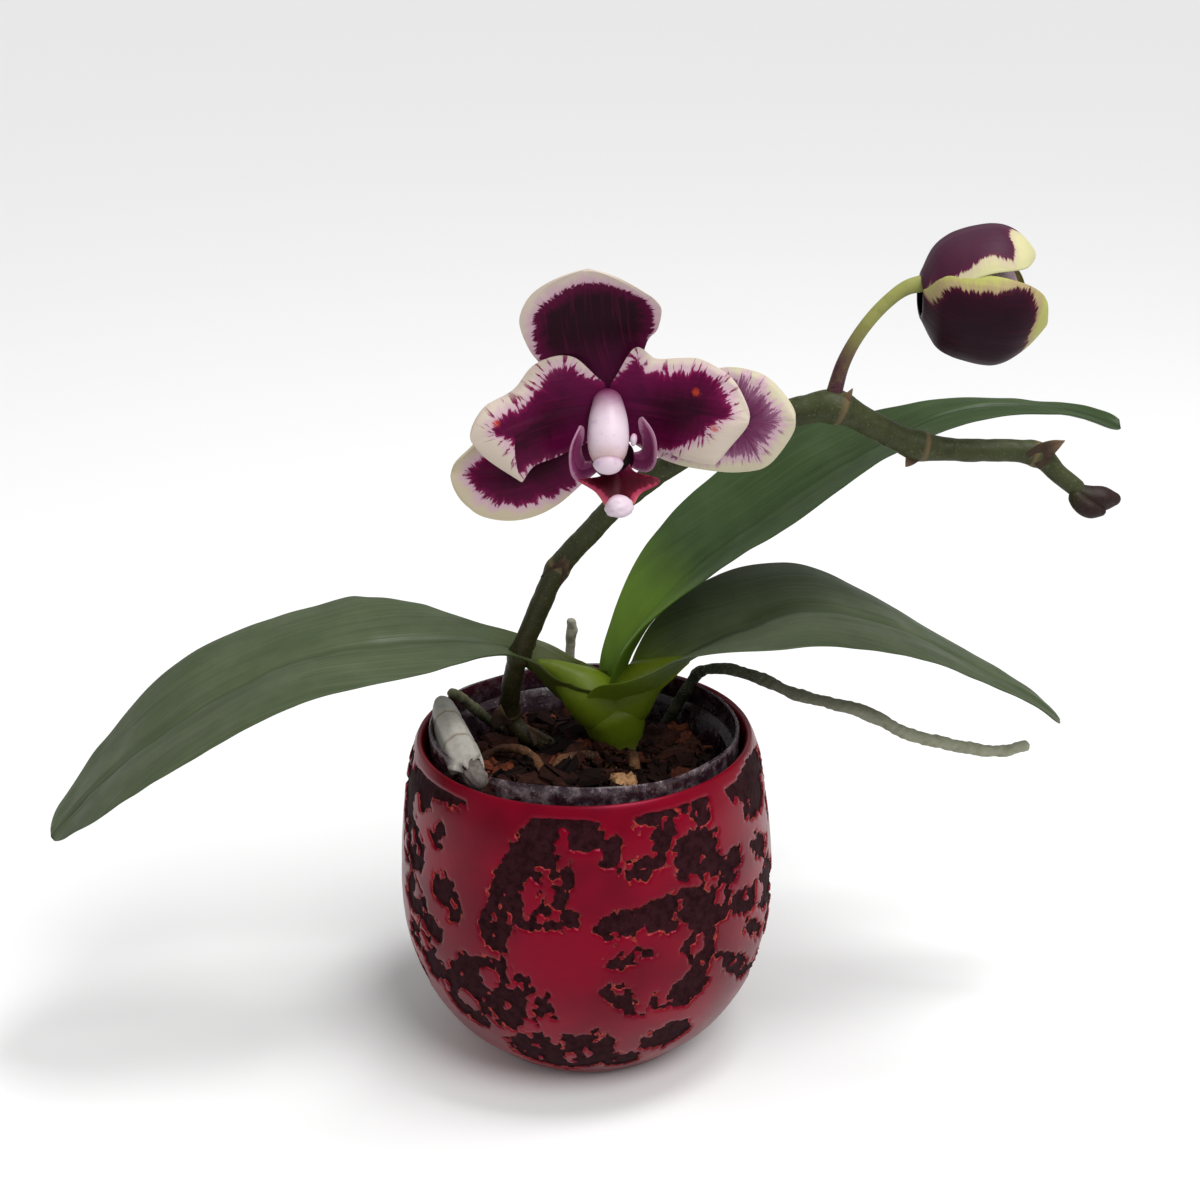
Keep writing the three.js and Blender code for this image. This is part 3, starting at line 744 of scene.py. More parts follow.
@dataclass(frozen=True)
class CrackleGlaze:
    """Satin red glaze with torn openings down to bare brown-black clay, each ringed by a pale band of thin glaze
    with a painted highlight.
    """

    red: Colour = (112, 0, 22)
    deep_red: Colour = (84, 0, 14)
    # Pale band round each opening: partly thin glaze, partly painted highlight.
    thin_glaze_highlight: Colour = (150, 58, 44)
    bare: Colour = (46, 23, 27)
    bare_dark: Colour = (27, 11, 14)
    edge_band_width: float = 0.5

    def material(self) -> bpy.types.Material:
        """Makes the material. It reads the distance into the glaze from the mesh."""
        make = Recipe("crackle_glaze", Specular_Tint=(1.0, 0.16, 0.3, 1.0))
        ragged = make.swing(make.noise(3, 1, 0.4), 1.0)
        nibbled = make.swing(make.noise(1.2, 1, 0.4), 0.3)
        depth = make.plus(make.value("glaze"), make.plus(ragged, nibbled))
        covered = make.step(depth, -0.1, 0.1)
        inside = make.step(depth, 0.1, self.edge_band_width)
        red = make.mix(make.step(make.noise(24, 2), 0.35, 0.7), self.red, self.deep_red)
        # Lightens the band just inside each opening's edge: thin glaze and a painted highlight.
        thin_glaze_lit_edge = make.mix(make.step(make.noise(6, 2), 0.38, 0.62), self.thin_glaze_highlight, red)
        glazed = make.mix(inside, thin_glaze_lit_edge, red)
        clay = make.mix(make.step(make.noise(2.4, 4, 0.7), 0.35, 0.7), self.bare, self.bare_dark)
        make.to("Base Color", make.mix(covered, clay, glazed))
        make.to("Roughness", make.plus(make.times(covered, -0.42), make.scaled(make.noise(5, 3), 0.66, 0.8)))
        make.to("Specular IOR Level", make.scaled(covered, 0.05, 0.45))
        make.bump(make.step(depth, -0.3, 0.7), 0.4)
        make.bump(make.noise(1.6, 3, 0.6), 0.05, 0.5)
        return make.material


@dataclass(frozen=True)
class DustyPlastic:
    """Clear plastic, clouded by dust, lime and drops of water, and wet where the old root leans."""

    clear: Colour = (44, 26, 36)
    dust: Colour = (124, 110, 114)
    dusty: float = 0.9
    opacity: float = 0.68
    wet_spot: Point = (-32.0, -31.0, 98.0)
    wet_reach: float = 13.0
    wet_opacity: float = 0.1

    def material(self) -> bpy.types.Material:
        """Makes the material."""
        make = Recipe("dusty_plastic", Specular_IOR_Level=0.35)
        cloud = make.step(make.noise(4, 5, 0.7), 0.42, 0.7)
        drops = make.step(make.cells(2.6), 0.28, 0.18)
        front = make.scaled(make.step(make.axis("Y"), 0.0, -30 * METRES), 0.35, 1.0)
        dirt = make.times(make.times(make.plus(cloud, make.times(drops, 0.35)), front), self.dusty)
        make.to("Base Color", make.mix(dirt, self.clear, self.dust))
        make.to("Roughness", make.scaled(cloud, 0.2, 0.45))
        away = make.distance(self.wet_spot)
        dry = make.step(away, 0.5 * self.wet_reach * METRES, self.wet_reach * METRES)
        haze = make.plus(make.times(dirt, 0.25), self.opacity)
        make.to("Alpha", make.plus(make.times(dry, make.plus(haze, -self.wet_opacity)), self.wet_opacity))
        make.bump(make.plus(make.noise(2, 3), make.times(drops, 0.5)), 0.2, 0.7)
        return make.material


@dataclass(frozen=True)
class ChippedBark:
    """Rough bark, each chip with its own tone from near black to tan."""

    dark: Colour = (16, 8, 7)
    brown: Colour = (58, 30, 22)
    rust: Colour = (112, 56, 36)
    tan: Colour = (190, 146, 104)

    def material(self) -> bpy.types.Material:
        """Makes the material. It reads each chip's tone from the mesh."""
        make = Recipe("chipped_bark", Roughness=0.86, Specular_IOR_Level=0.12)
        tone = make.value("tone")
        base = make.mix(make.step(tone, 0.1, 0.55), self.dark, self.brown)
        base = make.mix(make.step(tone, 0.55, 0.78), base, self.rust)
        base = make.mix(make.step(tone, 0.82, 0.97), base, self.tan)
        shade = make.step(make.noise(1.7, 5, 0.7), 0.35, 0.68)
        make.to("Base Color", make.mix(make.times(shade, 0.62), base, self.dark))
        make.bump(make.noise(1.2, 5, 0.7), 0.5, 0.9)
        return make.material


@dataclass(frozen=True)
class LeafSkin:
    """Leathery leaf with fine parallel veins, a sunken midrib and a yellow-green base."""

    name: str
    green: Colour = (68, 79, 52)
    shade: Colour = (51, 62, 38)
    light: Colour = (96, 106, 80)
    base: Colour = (86, 100, 18)
    base_end: float = 26.0
    base_fade: float = 26.0
    gloss: float = 0.42

    def material(self) -> bpy.types.Material:
        """Makes the material. It reads the place on the leaf from the mesh."""
        make = Recipe(self.name, Specular_IOR_Level=0.25)
        across, distance = make.value("across"), make.value("distance")
        veins = make.streaks(across, distance, (1.1, 0.018))
        broad = make.streaks(across, distance, (0.16, 0.02), 7.0)
        cloud = make.noise(16, 3)
        green = make.mix(make.times(make.step(broad, 0.35, 0.65), 0.5), self.green, self.shade)
        green = make.mix(make.times(make.step(cloud, 0.4, 0.75), 0.25), green, self.light)
        green = make.mix(make.times(make.step(veins, 0.5, 0.72), 0.2), green, self.light)
        green = make.mix(make.times(make.step(veins, 0.46, 0.3), 0.3), green, self.shade)
        rib = make.step(make.math("ABSOLUTE", across), 0.9, 0.15)
        green = make.mix(make.times(rib, 0.55), green, self.shade)
        young = make.plus(distance, make.swing(broad, 18.0))
        fresh = make.step(young, self.base_end + self.base_fade, self.base_end)
        make.to("Base Color", make.mix(make.times(fresh, 0.94), green, self.base))
        make.to("Roughness", make.scaled(make.noise(3, 3), self.gloss - 0.06, self.gloss + 0.12))
        make.bump(veins, 0.25, 0.5)
        make.bump(make.noise(0.7, 2), 0.05, 0.45)
        return make.material


@dataclass(frozen=True)
class PetalSkin:
    """Velvety petal: cream at the margin, torn into magenta, then dark purple inside."""

    name: str
    cream: Colour = (196, 182, 168)
    blush: Colour = (192, 160, 172)
    magenta: Colour = (112, 10, 66)
    purple: Colour = (76, 1, 44)
    dark: Colour = (44, 1, 24)
    dark_start: float = 2.0
    dark_end: float = 9.0
    tongue: float = 3.2
    tear: float = 2.4
    streak: float = 0.0
    flush: Colour = (104, 16, 70)
    flushed: float = 0.35
    spot: Colour = (176, 58, 30)

    def material(self) -> bpy.types.Material:
        """Makes the material. It reads the depth inside the margin's cream from the mesh."""
        make = Recipe(self.name, Roughness=0.5, Specular_IOR_Level=0.1)
        depth, ray = make.value("depth"), make.value("ray")
        wide = make.streaks(ray, depth, (0.22, 0.05), 3.0)
        fine = make.streaks(ray, depth, (1.15, 0.22), 9.0, 3, 0.6)
        torn = make.plus(make.swing(wide, 2 * self.tongue), make.swing(fine, 2 * self.tear))
        inner = make.plus(depth, torn)
        coloured = make.step(inner, -0.35, 0.45)
        if self.streak:
            vein = make.streaks(ray, depth, (0.75, 0.12), 15.0)
            reach = make.step(depth, -self.streak, -0.2 * self.streak)
            streaks = make.times(make.step(make.plus(vein, make.times(reach, 0.12)), 0.66, 0.72), reach)
            coloured = make.math("MAXIMUM", coloured, streaks)
        veins = make.streaks(make.value("across"), make.value("distance"), (0.9, 0.05), 21.0)
        purple = make.mix(make.step(inner, 0.0, self.dark_start), self.magenta, self.purple)
        purple = make.mix(make.step(inner, self.dark_start, self.dark_end), purple, self.dark)
        purple = make.mix(make.times(make.step(veins, 0.5, 0.75), 0.25), purple, self.magenta)
        flushed = make.times(make.step(make.value("share"), 0.5, 0.1), self.flushed)
        purple = make.mix(flushed, purple, self.flush)
        pale = make.mix(make.step(inner, -3.0, -0.3), self.cream, self.blush)
        pale = make.mix(make.times(make.step(veins, 0.55, 0.75), 0.2), pale, self.blush)
        skin = make.mix(coloured, pale, purple)
        orange = make.times(make.step(make.plus(make.value("spot"), fine), 1.0, 1.5), 0.75)
        make.to("Base Color", make.mix(orange, skin, self.spot))
        make.bump(veins, 0.18, 0.55)
        make.bump(make.noise(0.45, 2), 0.05, 0.6)
        return make.material


@dataclass(frozen=True)
class StemSkin:
    """Stem or root skin that changes from one colour to another along its length."""

    name: str
    start: Colour
    end: Colour
    turn: float = 0.5
    fade: float = 0.3
    speckle: Colour = (150, 152, 110)
    speckles: float = 0.4
    mottle: Colour = (60, 52, 30)
    mottled: float = 0.4
    rough: float = 0.5
    ribbed: float = 0.0
    band: Colour = (130, 110, 80)

    def material(self) -> bpy.types.Material:
        """Makes the material. It reads the share along the stem from the mesh."""
        make = Recipe(self.name, Specular_IOR_Level=0.18)
        share = make.plus(make.value("share"), make.swing(make.noise(6, 2), 0.12))
        base = make.mix(make.step(share, self.turn - self.fade, self.turn + self.fade), self.start, self.end)
        mottled = make.times(make.step(make.noise(4, 4, 0.65), 0.45, 0.68), self.mottled)
        base = make.mix(mottled, base, self.mottle)
        dots = make.step(make.noise(0.55, 2, 0.5), 0.6, 0.72)
        base = make.mix(make.times(dots, self.speckles), base, self.speckle)
        make.to("Base Color", make.mix(make.times(make.value("band"), 0.8), base, self.band))
        make.to("Roughness", make.scaled(make.noise(2, 3), self.rough - 0.08, self.rough + 0.1))
        make.bump(make.noise(1.0, 3), 0.12, 0.5)
        if self.ribbed:
            rings = make.noise(1.0, 2, 0.5, make.point(make.times(make.value("distance"), 0.8)))
            make.bump(rings, self.ribbed, 0.8)
        return make.material


@dataclass(frozen=True)
class WaxySkin:
    """Waxy white tissue, flushed with colour towards each end of a piece."""

    name: str
    middle: Colour = (208, 190, 202)
    start: Colour = (116, 24, 80)
    end: Colour = (180, 136, 128)
    start_reach: float = 0.42
    end_reach: float = 0.9
    flecks: Colour = (172, 130, 178)

    def material(self) -> bpy.types.Material:
        """Makes the material. It reads the share along the piece from the mesh."""
        make = Recipe(self.name, Roughness=0.42, Specular_IOR_Level=0.3)
        share = make.plus(make.value("share"), make.swing(make.noise(3, 2), 0.1))
        base = make.mix(make.step(share, 0.0, self.start_reach), self.start, self.middle)
        base = make.mix(make.step(share, self.end_reach, 1.0), base, self.end)
        flecks = make.times(make.step(make.noise(2.2, 3), 0.56, 0.72), 0.35)
        make.to("Base Color", make.mix(flecks, base, self.flecks))
        make.bump(make.noise(0.6, 2), 0.06, 0.5)
        return make.material


# The pots and what fills them


@dataclass(frozen=True)
class Patch:
    """An oval on the pot's wall: place round it and up it, half sizes and turn in degrees."""

    around: float
    height: float
    half_width: float
    half_height: float
    turn: float = 0.0


# Openings in the glaze at the front, listed one by one: place round the wall and up it, half width,
# half height and turn of each broad patch of bare clay
BARE_PATCHES = [
    (-20, 77, 19, 5.5, 65), (-7, 91, 8, 4.5), (3, 88, 8, 3, -55), (8.5, 84.5, 1.8, 4), (-12, 77, 8, 9),
    (-26, 61, 5, 6), (-12, 66, 9, 3.5), (35, 79, 8, 8), (24, 88, 2.6, 5, -20), (22, 93, 6, 1.5),
    (38, 92, 2.6, 4), (47, 73, 6, 3), (44, 67, 5, 3, 20), (12, 64, 9, 4, 5), (27, 65, 12, 5),
    (38, 62, 8, 6), (55, 58, 9, 3, -10), (34, 50, 5, 9), (30, 38, 7, 5, 20), (24, 37, 5, 3),
    (9, 52.5, 3.5, 1.2), (16, 54, 2.5, 1), (8, 43, 3.4, 1.6), (12, 37, 5, 2, -35), (19, 80.5, 4, 1),
    (15, 78, 3, 1), (-34, 40, 15, 8.5, 35), (-41, 29, 8, 5, -20), (-25, 44, 4, 8), (-26, 32, 6, 6),
    (-20, 40, 4, 8), (-14, 36, 4, 6), (-10, 17, 18, 9.5), (3, 22, 4.5, 5), (26, 21, 9, 5),
    (12, 12, 7, 4), (52, 37, 9, 2.4, -35), (45, 43, 4, 1.2, -30), (-46, 66, 5, 4), (-42, 62, 2.5, 4),
    (-50, 82, 2.5, 3), (-50, 94, 9, 2), (-65, 90, 9, 5), (-66, 72, 8, 7), (-62, 57, 7, 5),
    (-52, 52, 5, 3), (-60, 44, 8, 4), (-52, 38, 5, 4), (62, 84, 5, 3, -30), (66, 70, 6, 2.4, -25),
    (60, 46, 7, 2.2, -35), (66, 30, 6, 3), (56, 92, 5, 1.6), (-68, 30, 5, 5), (-12, 22, 10, 4),
    (30, 95, 4, 1.2),
]
# Islands of glaze that stand in those openings, in the same way
GLAZE_ISLANDS = [
    (-6.7, 85.5, 2.2, 6.2), (-16, 71.5, 2.9, 5.4), (-11.3, 75.5, 1.7, 4.8, 15), (-7.2, 76.8, 1.1, 1.6),
    (-2.9, 72, 2.2, 3.8), (-8.4, 66.7, 1.2, 1.8), (-12.2, 65.8, 1.3, 1.5), (-22.3, 64.5, 0.9, 2.4),
    (1.5, 82, 3, 4.6), (-18.5, 57, 4, 5), (-4, 60, 3, 4), (32.3, 72, 2.3, 2.6), (37.7, 72, 1.2, 1.4),
    (38.4, 67.8, 1.4, 1.3), (42.5, 64.8, 2.2, 2.9), (27.5, 57.8, 2.7, 3.2, -25),
    (33, 52, 2.2, 3.8, -25), (27.6, 47, 2.7, 4), (22, 39, 2.1, 4, -15), (16, 36.5, 3, 2.2),
    (8.4, 43, 1.6, 1.6), (-29, 43.5, 3, 4, -15), (-39, 32, 4.4, 3.6, -10), (-22.5, 47, 1.5, 5.5),
    (-18.6, 44, 1.1, 1.5), (-17, 36.5, 1.9, 4.6, -15), (-11.5, 29, 3.1, 6), (-13.3, 43, 1.6, 3.4),
    (-7, 15, 2.2, 3.4), (-1, 18, 1.3, 2.4), (-19, 25, 2.2, 1.5), (-30.5, 31, 1.2, 2),
    (-24.6, 35, 0.8, 1.8), (-64, 85, 2.5, 4), (-65, 74, 2, 3), (-60, 60, 3, 3), (-58, 45, 3, 2.4),
    (46, 79, 3, 4), (55, 60, 2, 1), (-27, 24, 3, 2), (14, 66, 0.8, 0.7), (28, 66.3, 1, 1.2),
    (35, 46, 0.9, 1.1),
]


@dataclass
class GlazedPot:
    """Round cover pot with a flat foot and a soft lip. Its glaze stands proud of the bare clay."""

    height: float = 98.0
    belly: float = 55.2
    foot: float = 24.0
    wall: float = 4.6
    floor: float = 7.0
    liner_foot: float = 28.0
    steps: int = 480
    outside_rings: int = 138
    inside_rings: int = 44
    glaze_depth: float = 0.8
    rounding: float = 1.3
    torn: float = 0.9
    seed: int = 5
    finish: CrackleGlaze = field(default_factory=CrackleGlaze)

    def profile(self) -> Array:
        """Gives the section from the axis under the foot, over the lip, to the axis inside."""
        wide, tall = self.belly, self.height
        outside = [
            (self.foot, 0),
            (0.56 * wide, 1.6),
            (0.65 * wide, 0.06 * tall),
            (0.75 * wide, 0.11 * tall),
            (0.825 * wide, 0.165 * tall),
            (0.9 * wide, 0.24 * tall),
            (0.955 * wide, 0.325 * tall),
            (0.99 * wide, 0.42 * tall),
            (wide, 0.52 * tall),
            (0.99 * wide, 0.65 * tall),
            (0.968 * wide, 0.78 * tall),
            (0.94 * wide, 0.9 * tall),
            (0.918 * wide, 0.945 * tall),
            (0.894 * wide, 0.982 * tall),
            (0.873 * wide, tall),
        ]
        inside = [(0.852 * wide, 0.99 * tall), (0.845 * wide, 0.955 * tall)]
        lift = 0.15 * self.wall
        inside += [(radius - self.wall, height + lift) for radius, height in outside[11:3:-1]]
        inside += [(self.liner_foot + 4, self.floor + 1), (self.liner_foot + 1, self.floor)]
        wall_line = self._sample([*outside, inside[0]], self.outside_rings)
        inner_line = self._sample(inside, self.inside_rings)
        under = [(0.0, 0.0), (0.5 * self.foot, 0.0), (0.9 * self.foot, 0.0)]
        over = [(0.5 * self.liner_foot, self.floor), (0.0, self.floor)]
        return np.vstack([under, wall_line[:-1], inner_line, over])

    @staticmethod
    def _sample(points: list[tuple[float, float]], count: int) -> Array:
        """Places evenly spaced points on a smooth line through a section's points."""
        line = Route([(radius, 0.0, height) for radius, height in points])
        return line.at(np.linspace(0, 1, count))[:, [0, 2]]

    def _patches(self) -> tuple[list[Patch], list[Patch]]:
        """Gives the openings and islands: listed at the front, drawn at random behind."""
        draw = np.random.default_rng(self.seed)
        bare = [Patch(*row) for row in BARE_PATCHES]
        islands = [Patch(*row) for row in GLAZE_ISLANDS]
        girth = 2 * math.pi * self.belly
        for _ in range(74):
            around, height = draw.uniform(66, girth - 74), draw.uniform(12, 92)
            half = draw.uniform(2.5, 12)
            bare.append(Patch(around, height, half, half * draw.uniform(0.35, 1.3), draw.uniform(-60, 60)))
        for _ in range(90):
            around, height = draw.uniform(60, girth - 70), draw.uniform(10, 92)
            half = draw.uniform(0.8, 3.6)
            islands.append(Patch(around, height, half, half * draw.uniform(0.7, 2.2), draw.uniform(-40, 40)))
        for _ in range(330):
            around, height = draw.uniform(0, girth), draw.uniform(10, 92)
            islands.append(Patch(around, height, draw.uniform(0.4, 1.1), draw.uniform(0.4, 1.4)))
        return bare, islands

    def _distance(self, around: Array, height: Array, patch: Patch) -> Array:
        """Gives roughly the distance to a patch's edge, below 0 inside it."""
        girth = 2 * math.pi * self.belly
        x = (around - patch.around + girth / 2) % girth - girth / 2
        z = height - patch.height
        turn = math.radians(patch.turn)
        u = (x * math.cos(turn) + z * math.sin(turn)) / patch.half_width
        v = (z * math.cos(turn) - x * math.sin(turn)) / patch.half_height
        reach = np.hypot(u, v) + 1e-6
        slope = np.hypot(u / patch.half_width, v / patch.half_height) + 1e-6
        return reach * (reach - 1) / slope

    def glaze(self, points: Array, normals: Array) -> Array:
        """Measures how far inside the glaze each point lies, below 0 where the clay is bare.

        Args:
            points: Corners of the pot.
            normals: The wall's directions at them.

        Returns:
            The distance to the nearest edge of the glaze, in millimetres.
        """
        around = np.arctan2(points[:, 0], -points[:, 1]) * self.belly
        height = points[:, 2]
        around = around + 0.5 * Ripple(31, 12)(points) + 0.5 * Ripple(32, 4)(points)
        height = height + 0.5 * Ripple(33, 12)(points) + 0.5 * Ripple(34, 4)(points)
        bare, islands = self._patches()
        depth = np.full(len(points), 40.0)
        for patch in bare:
            depth = np.minimum(depth, self._distance(around, height, patch) - self.torn)
        for patch in islands:
            depth = np.maximum(depth, -self._distance(around, height, patch))
        depth = depth + 0.7 * Ripple(35, 3)(points) + 0.1
        lip = smooth_step(points[:, 2], 0.962 * self.height, 0.982 * self.height)
        outwards = points[:, :2] / np.maximum(np.hypot(points[:, 0], points[:, 1]), 1)[:, None]
        within = smooth_step((normals[:, :2] * outwards).sum(axis=1), 0.1, -0.3)
        within = np.maximum(within, points[:, 2] < 1)
        return np.clip(depth + 9 * lip + 40 * within, -6, 6)

    def build(self) -> None:
        """Makes the pot."""
        pot = spun("glazed_pot", self.profile(), self.steps)
        points = read_points(pot)
        flat = np.zeros(len(points) * 3, np.float32)
        pot.data.vertices.foreach_get("normal", flat)
        normals = flat.reshape(-1, 3)
        depth = self.glaze(points, normals)
        write_value(pot, "glaze", depth)
        raised = smooth_step(depth, -self.rounding / 2, self.rounding / 2)
        pitted = 0.05 * Ripple(36, 2.2)(points) * (1 - raised)
        lower = (raised - 1) * self.glaze_depth + pitted
        lower = np.where(points[:, 2] < 1, 0, lower)
        write_points(pot, points + normals * lower[:, None])
        smooth(pot)
        settle(pot, self.finish.material(), Slot.RED_GLAZE, "pot")


@dataclass
class NurseryPot:
    """Thin clear pot that holds the bark, with a broad rim band that leans a little."""

    base: float = 7.3
    height: float = 93.4
    radius: float = 45.2
    foot: float = 28.0
    wall: float = 1.0
    lean: float = 1.0
    band: float = 2.6
    steps: int = 160
    rim_waves: float = 0.35
    finish: DustyPlastic = field(default_factory=DustyPlastic)

    def profile(self) -> Array:
        """Gives the section from the axis under the floor, over the rim, to the axis inside."""
        top = self.base + self.height
        rim, under_band = self.radius - 0.2, self.radius - self.band
        middle = (0.5 * (self.foot + under_band), self.base + 0.45 * self.height)
        section = [
            (0.0, self.base),
            (self.foot - 1.5, self.base),
            (self.foot, self.base + 1.5),
            middle,
            (under_band, top - 9),
            (rim, top - 7.5),
            (self.radius - 0.1, top - 3.6),
            (self.radius, top - 1.1),
            (self.radius - 0.15, top - 0.35),
            (self.radius - 0.6, top),
            (self.radius - 1.1, top - 0.35),
            (rim - self.wall - 0.1, top - 3.6),
            (rim - self.wall - 0.2, top - 7),
            (under_band - self.wall, top - 9),
            (middle[0] - self.wall, middle[1]),
            (self.foot - self.wall, self.base + 2),
            (self.foot - self.wall - 1, self.base + self.wall),
            (0.0, self.base + self.wall),
        ]
        return np.array(section)

    def build(self) -> None:
        """Makes the nursery pot."""
        pot = spun("clear_pot", self.profile(), self.steps)
        points = read_points(pot)
        high = np.clip((points[:, 2] - 50) / (self.height - 50), 0, None)
        slope = (-points[:, 0] - points[:, 1]) / (math.sqrt(2) * self.radius)
        points[:, 2] += high * self.lean * slope
        points[:, 2] += self.rim_waves * Ripple(41, 34)(points) * smooth_step(points[:, 2], 90, 99)
        write_points(pot, points)
        smooth(pot, 40)
        settle(pot, self.finish.material(), Slot.CLEAR_PLASTIC, "nursery_pot")


@dataclass
class Bark:
    """Bark that fills the nursery pot: a dark bed with chips, crumbs and splinters in a heap on it."""

    level: float = 87.0
    mound: float = 4.5
    spread: float = 24.0
    crown: tuple[float, float] = (9.0, 8.0)
    base: float = 8.9
    radius: float = 41.0
    foot: float = 25.5
    chips: int = 150
    crumbs: int = 190
    splinters: int = 80
    seed: int = 11
    finish: ChippedBark = field(default_factory=ChippedBark)

    def surface(self, x: Array, y: Array) -> Array:
        """Gives the height of the bark's surface at places in plan."""
        reach = np.hypot(x - self.crown[0], y - self.crown[1]) / self.spread
        return self.level + self.mound * np.exp(-reach * reach)

    def _bed(self) -> bpy.types.Object:
        """Makes the filling under the chips: a turned body with an uneven top."""
        rings = [(share * self.radius, self.level - 2) for share in (0.94, 0.8, 0.66, 0.52, 0.38, 0.24, 0.12)]
        section = [(0.0, self.base), (self.foot, self.base), (self.foot + 1, self.base + 2)]
        section += [(self.radius, self.level - 4), *rings, (0.0, self.level - 2)]
        bed = spun("bark_bed", np.array(section), 72)
        points = read_points(bed)
        top = points[:, 2] > self.level - 3
        uneven = 1.2 * Ripple(42, 9)(points) + 0.6 * Ripple(43, 4)(points)
        points[:, 2] = np.where(top, self.surface(points[:, 0], points[:, 1]) - 2.5 + uneven, points[:, 2])
        write_points(bed, points)
        write_value(bed, "tone", 0.12)
        return bed

    def _chip(self, name: str, size: Point, draw: np.random.Generator) -> bpy.types.Object:
        """Models one chip by hand: a block, cut once, bevelled and with its corners pulled about."""
        deselect()
        bpy.ops.mesh.primitive_cube_add(size=METRES)
        chip = bpy.context.object
        chip.name = name
        edit(chip)
        bpy.ops.transform.resize(value=size)
        bpy.ops.mesh.subdivide(number_cuts=1)
        bpy.ops.mesh.bevel(offset=0.1 * min(size) * METRES, segments=1)
        bpy.ops.object.mode_set(mode="OBJECT")
        points = read_points(chip)
        share = points / np.array(size)
        taper = 1 - draw.uniform(0.1, 0.6) * np.abs(share[:, 0]) - draw.uniform(-0.2, 0.3) * share[:, 0]
        points[:, 1] *= taper
        points[:, 2] *= 1 - 0.5 * np.abs(share[:, 0]) * draw.uniform(0.2, 1)
        points[:, 2] += draw.uniform(-0.8, 0.8) * share[:, 0] ** 2 * size[2]
        points += 0.09 * min(size[:2]) * draw.normal(size=points.shape)
        write_points(chip, points)
        return chip

    def _scatter(
        self, kinds: list[bpy.types.Object], count: int, reach: float, draw: np.random.Generator
    ) -> list[bpy.types.Object]:
        """Lays copies of some kinds of chip in a heap on the bed.

        Args:
            kinds: The chips to copy.
            count: How many copies to lay.
            reach: How far from the middle of the pot they lie.
            draw: Where the random numbers come from.

        Returns:
            The copies.
        """
        laid = []
        for _ in range(count):
            kind = kinds[draw.integers(len(kinds))]
            copy = kind.copy()
            copy.data = kind.data.copy()
            bpy.context.scene.collection.objects.link(copy)
            radius, angle = reach * math.sqrt(draw.uniform(0, 1)), draw.uniform(0, 2 * math.pi)
            x, y = radius * math.cos(angle), radius * math.sin(angle)
            turn = Matrix.Rotation(draw.uniform(0, 2 * math.pi), 3, "Z")
            turn = turn @ Matrix.Rotation(draw.normal(0, 0.45), 3, "X")
            turn = turn @ Matrix.Rotation(draw.normal(0, 0.35), 3, "Y")
            points = read_points(copy) * draw.uniform(0.75, 1.2) @ np.array(turn).T
            lift = float(self.surface(np.array(x), np.array(y))) + draw.uniform(-2.2, 1.2)
            write_points(copy, points + (x, y, lift))
            write_value(copy, "tone", min(1.0, draw.beta(1.6, 3.2) + 0.04))
            laid.append(copy)
        return laid

    def build(self) -> None:
        """Makes the bark."""
        draw = np.random.default_rng(self.seed)
        kinds = []
        for name, smallest, largest, count in (
            ("chip", (8, 4, 2.4), (16, 8, 5), 5),
            ("crumb", (2, 1.4, 0.8), (4.6, 3, 1.8), 4),
            ("splinter", (7, 0.7, 0.5), (15, 1.3, 0.9), 3),
        ):
            sizes = range(count)
            kinds.append([self._chip(f"{name}_{k}", tuple(draw.uniform(smallest, largest)), draw) for k in sizes])
        big, small, thin = kinds
        laid = self._scatter(big, self.chips, self.radius - 6.5, draw)
        laid += self._scatter(small, self.crumbs, self.radius - 2.5, draw)
        laid += self._scatter(thin, self.splinters, self.radius - 7.5, draw)
        for kind in [*big, *small, *thin]:
            bpy.data.objects.remove(kind)
        bark = join([self._bed(), *laid], "bark_heap")
        smooth(bark, 35)
        settle(bark, self.finish.material(), Slot.BARK, "bark")


# Green parts


LEAF_THICKNESS = (3.0, 2.4, 1.9, 1.7, 1.6, 1.5, 1.4, 1.2)


@dataclass
class Leaf:
    """A strap leaf with a sunken midrib on top and a keel beneath, gently waved."""

    name: str
    node: str
    blade: Blade
    finish: LeafSkin
    seed: int
    wave: float = 0.7
    groove: float = 0.55
    groove_width: float = 0.055

    def relief(self, across: Array, share: Array, upper: Array) -> Array:
        """Gives the leaf's waves, its midrib groove and the faint ridges beside it."""
        length = Route(self.blade.path).length
        flat = np.stack([across * 22, share * length, np.zeros_like(share)], axis=-1)
        waves = self.wave * Ripple(self.seed, 62)(flat) * smooth_step(share, 0.12, 0.4)
        fine = 0.12 * Ripple(self.seed + 1, 13)(flat)
        groove = self.groove * np.exp(-((across / self.groove_width) ** 2)) * rounded(share, 0.2, 0.1)
        ridges = 0.16 * np.exp(-(((np.abs(across) - 0.17) / 0.06) ** 2))
        return waves + fine + ridges - groove * np.where(upper > 0, 1.0, 0.8)

    def build(self) -> None:
        """Makes the leaf."""
        leaf, *_ = self.blade.build(self.name, self.relief)
        settle(leaf, self.finish.material(), Slot.LEAF_GREEN, self.node)


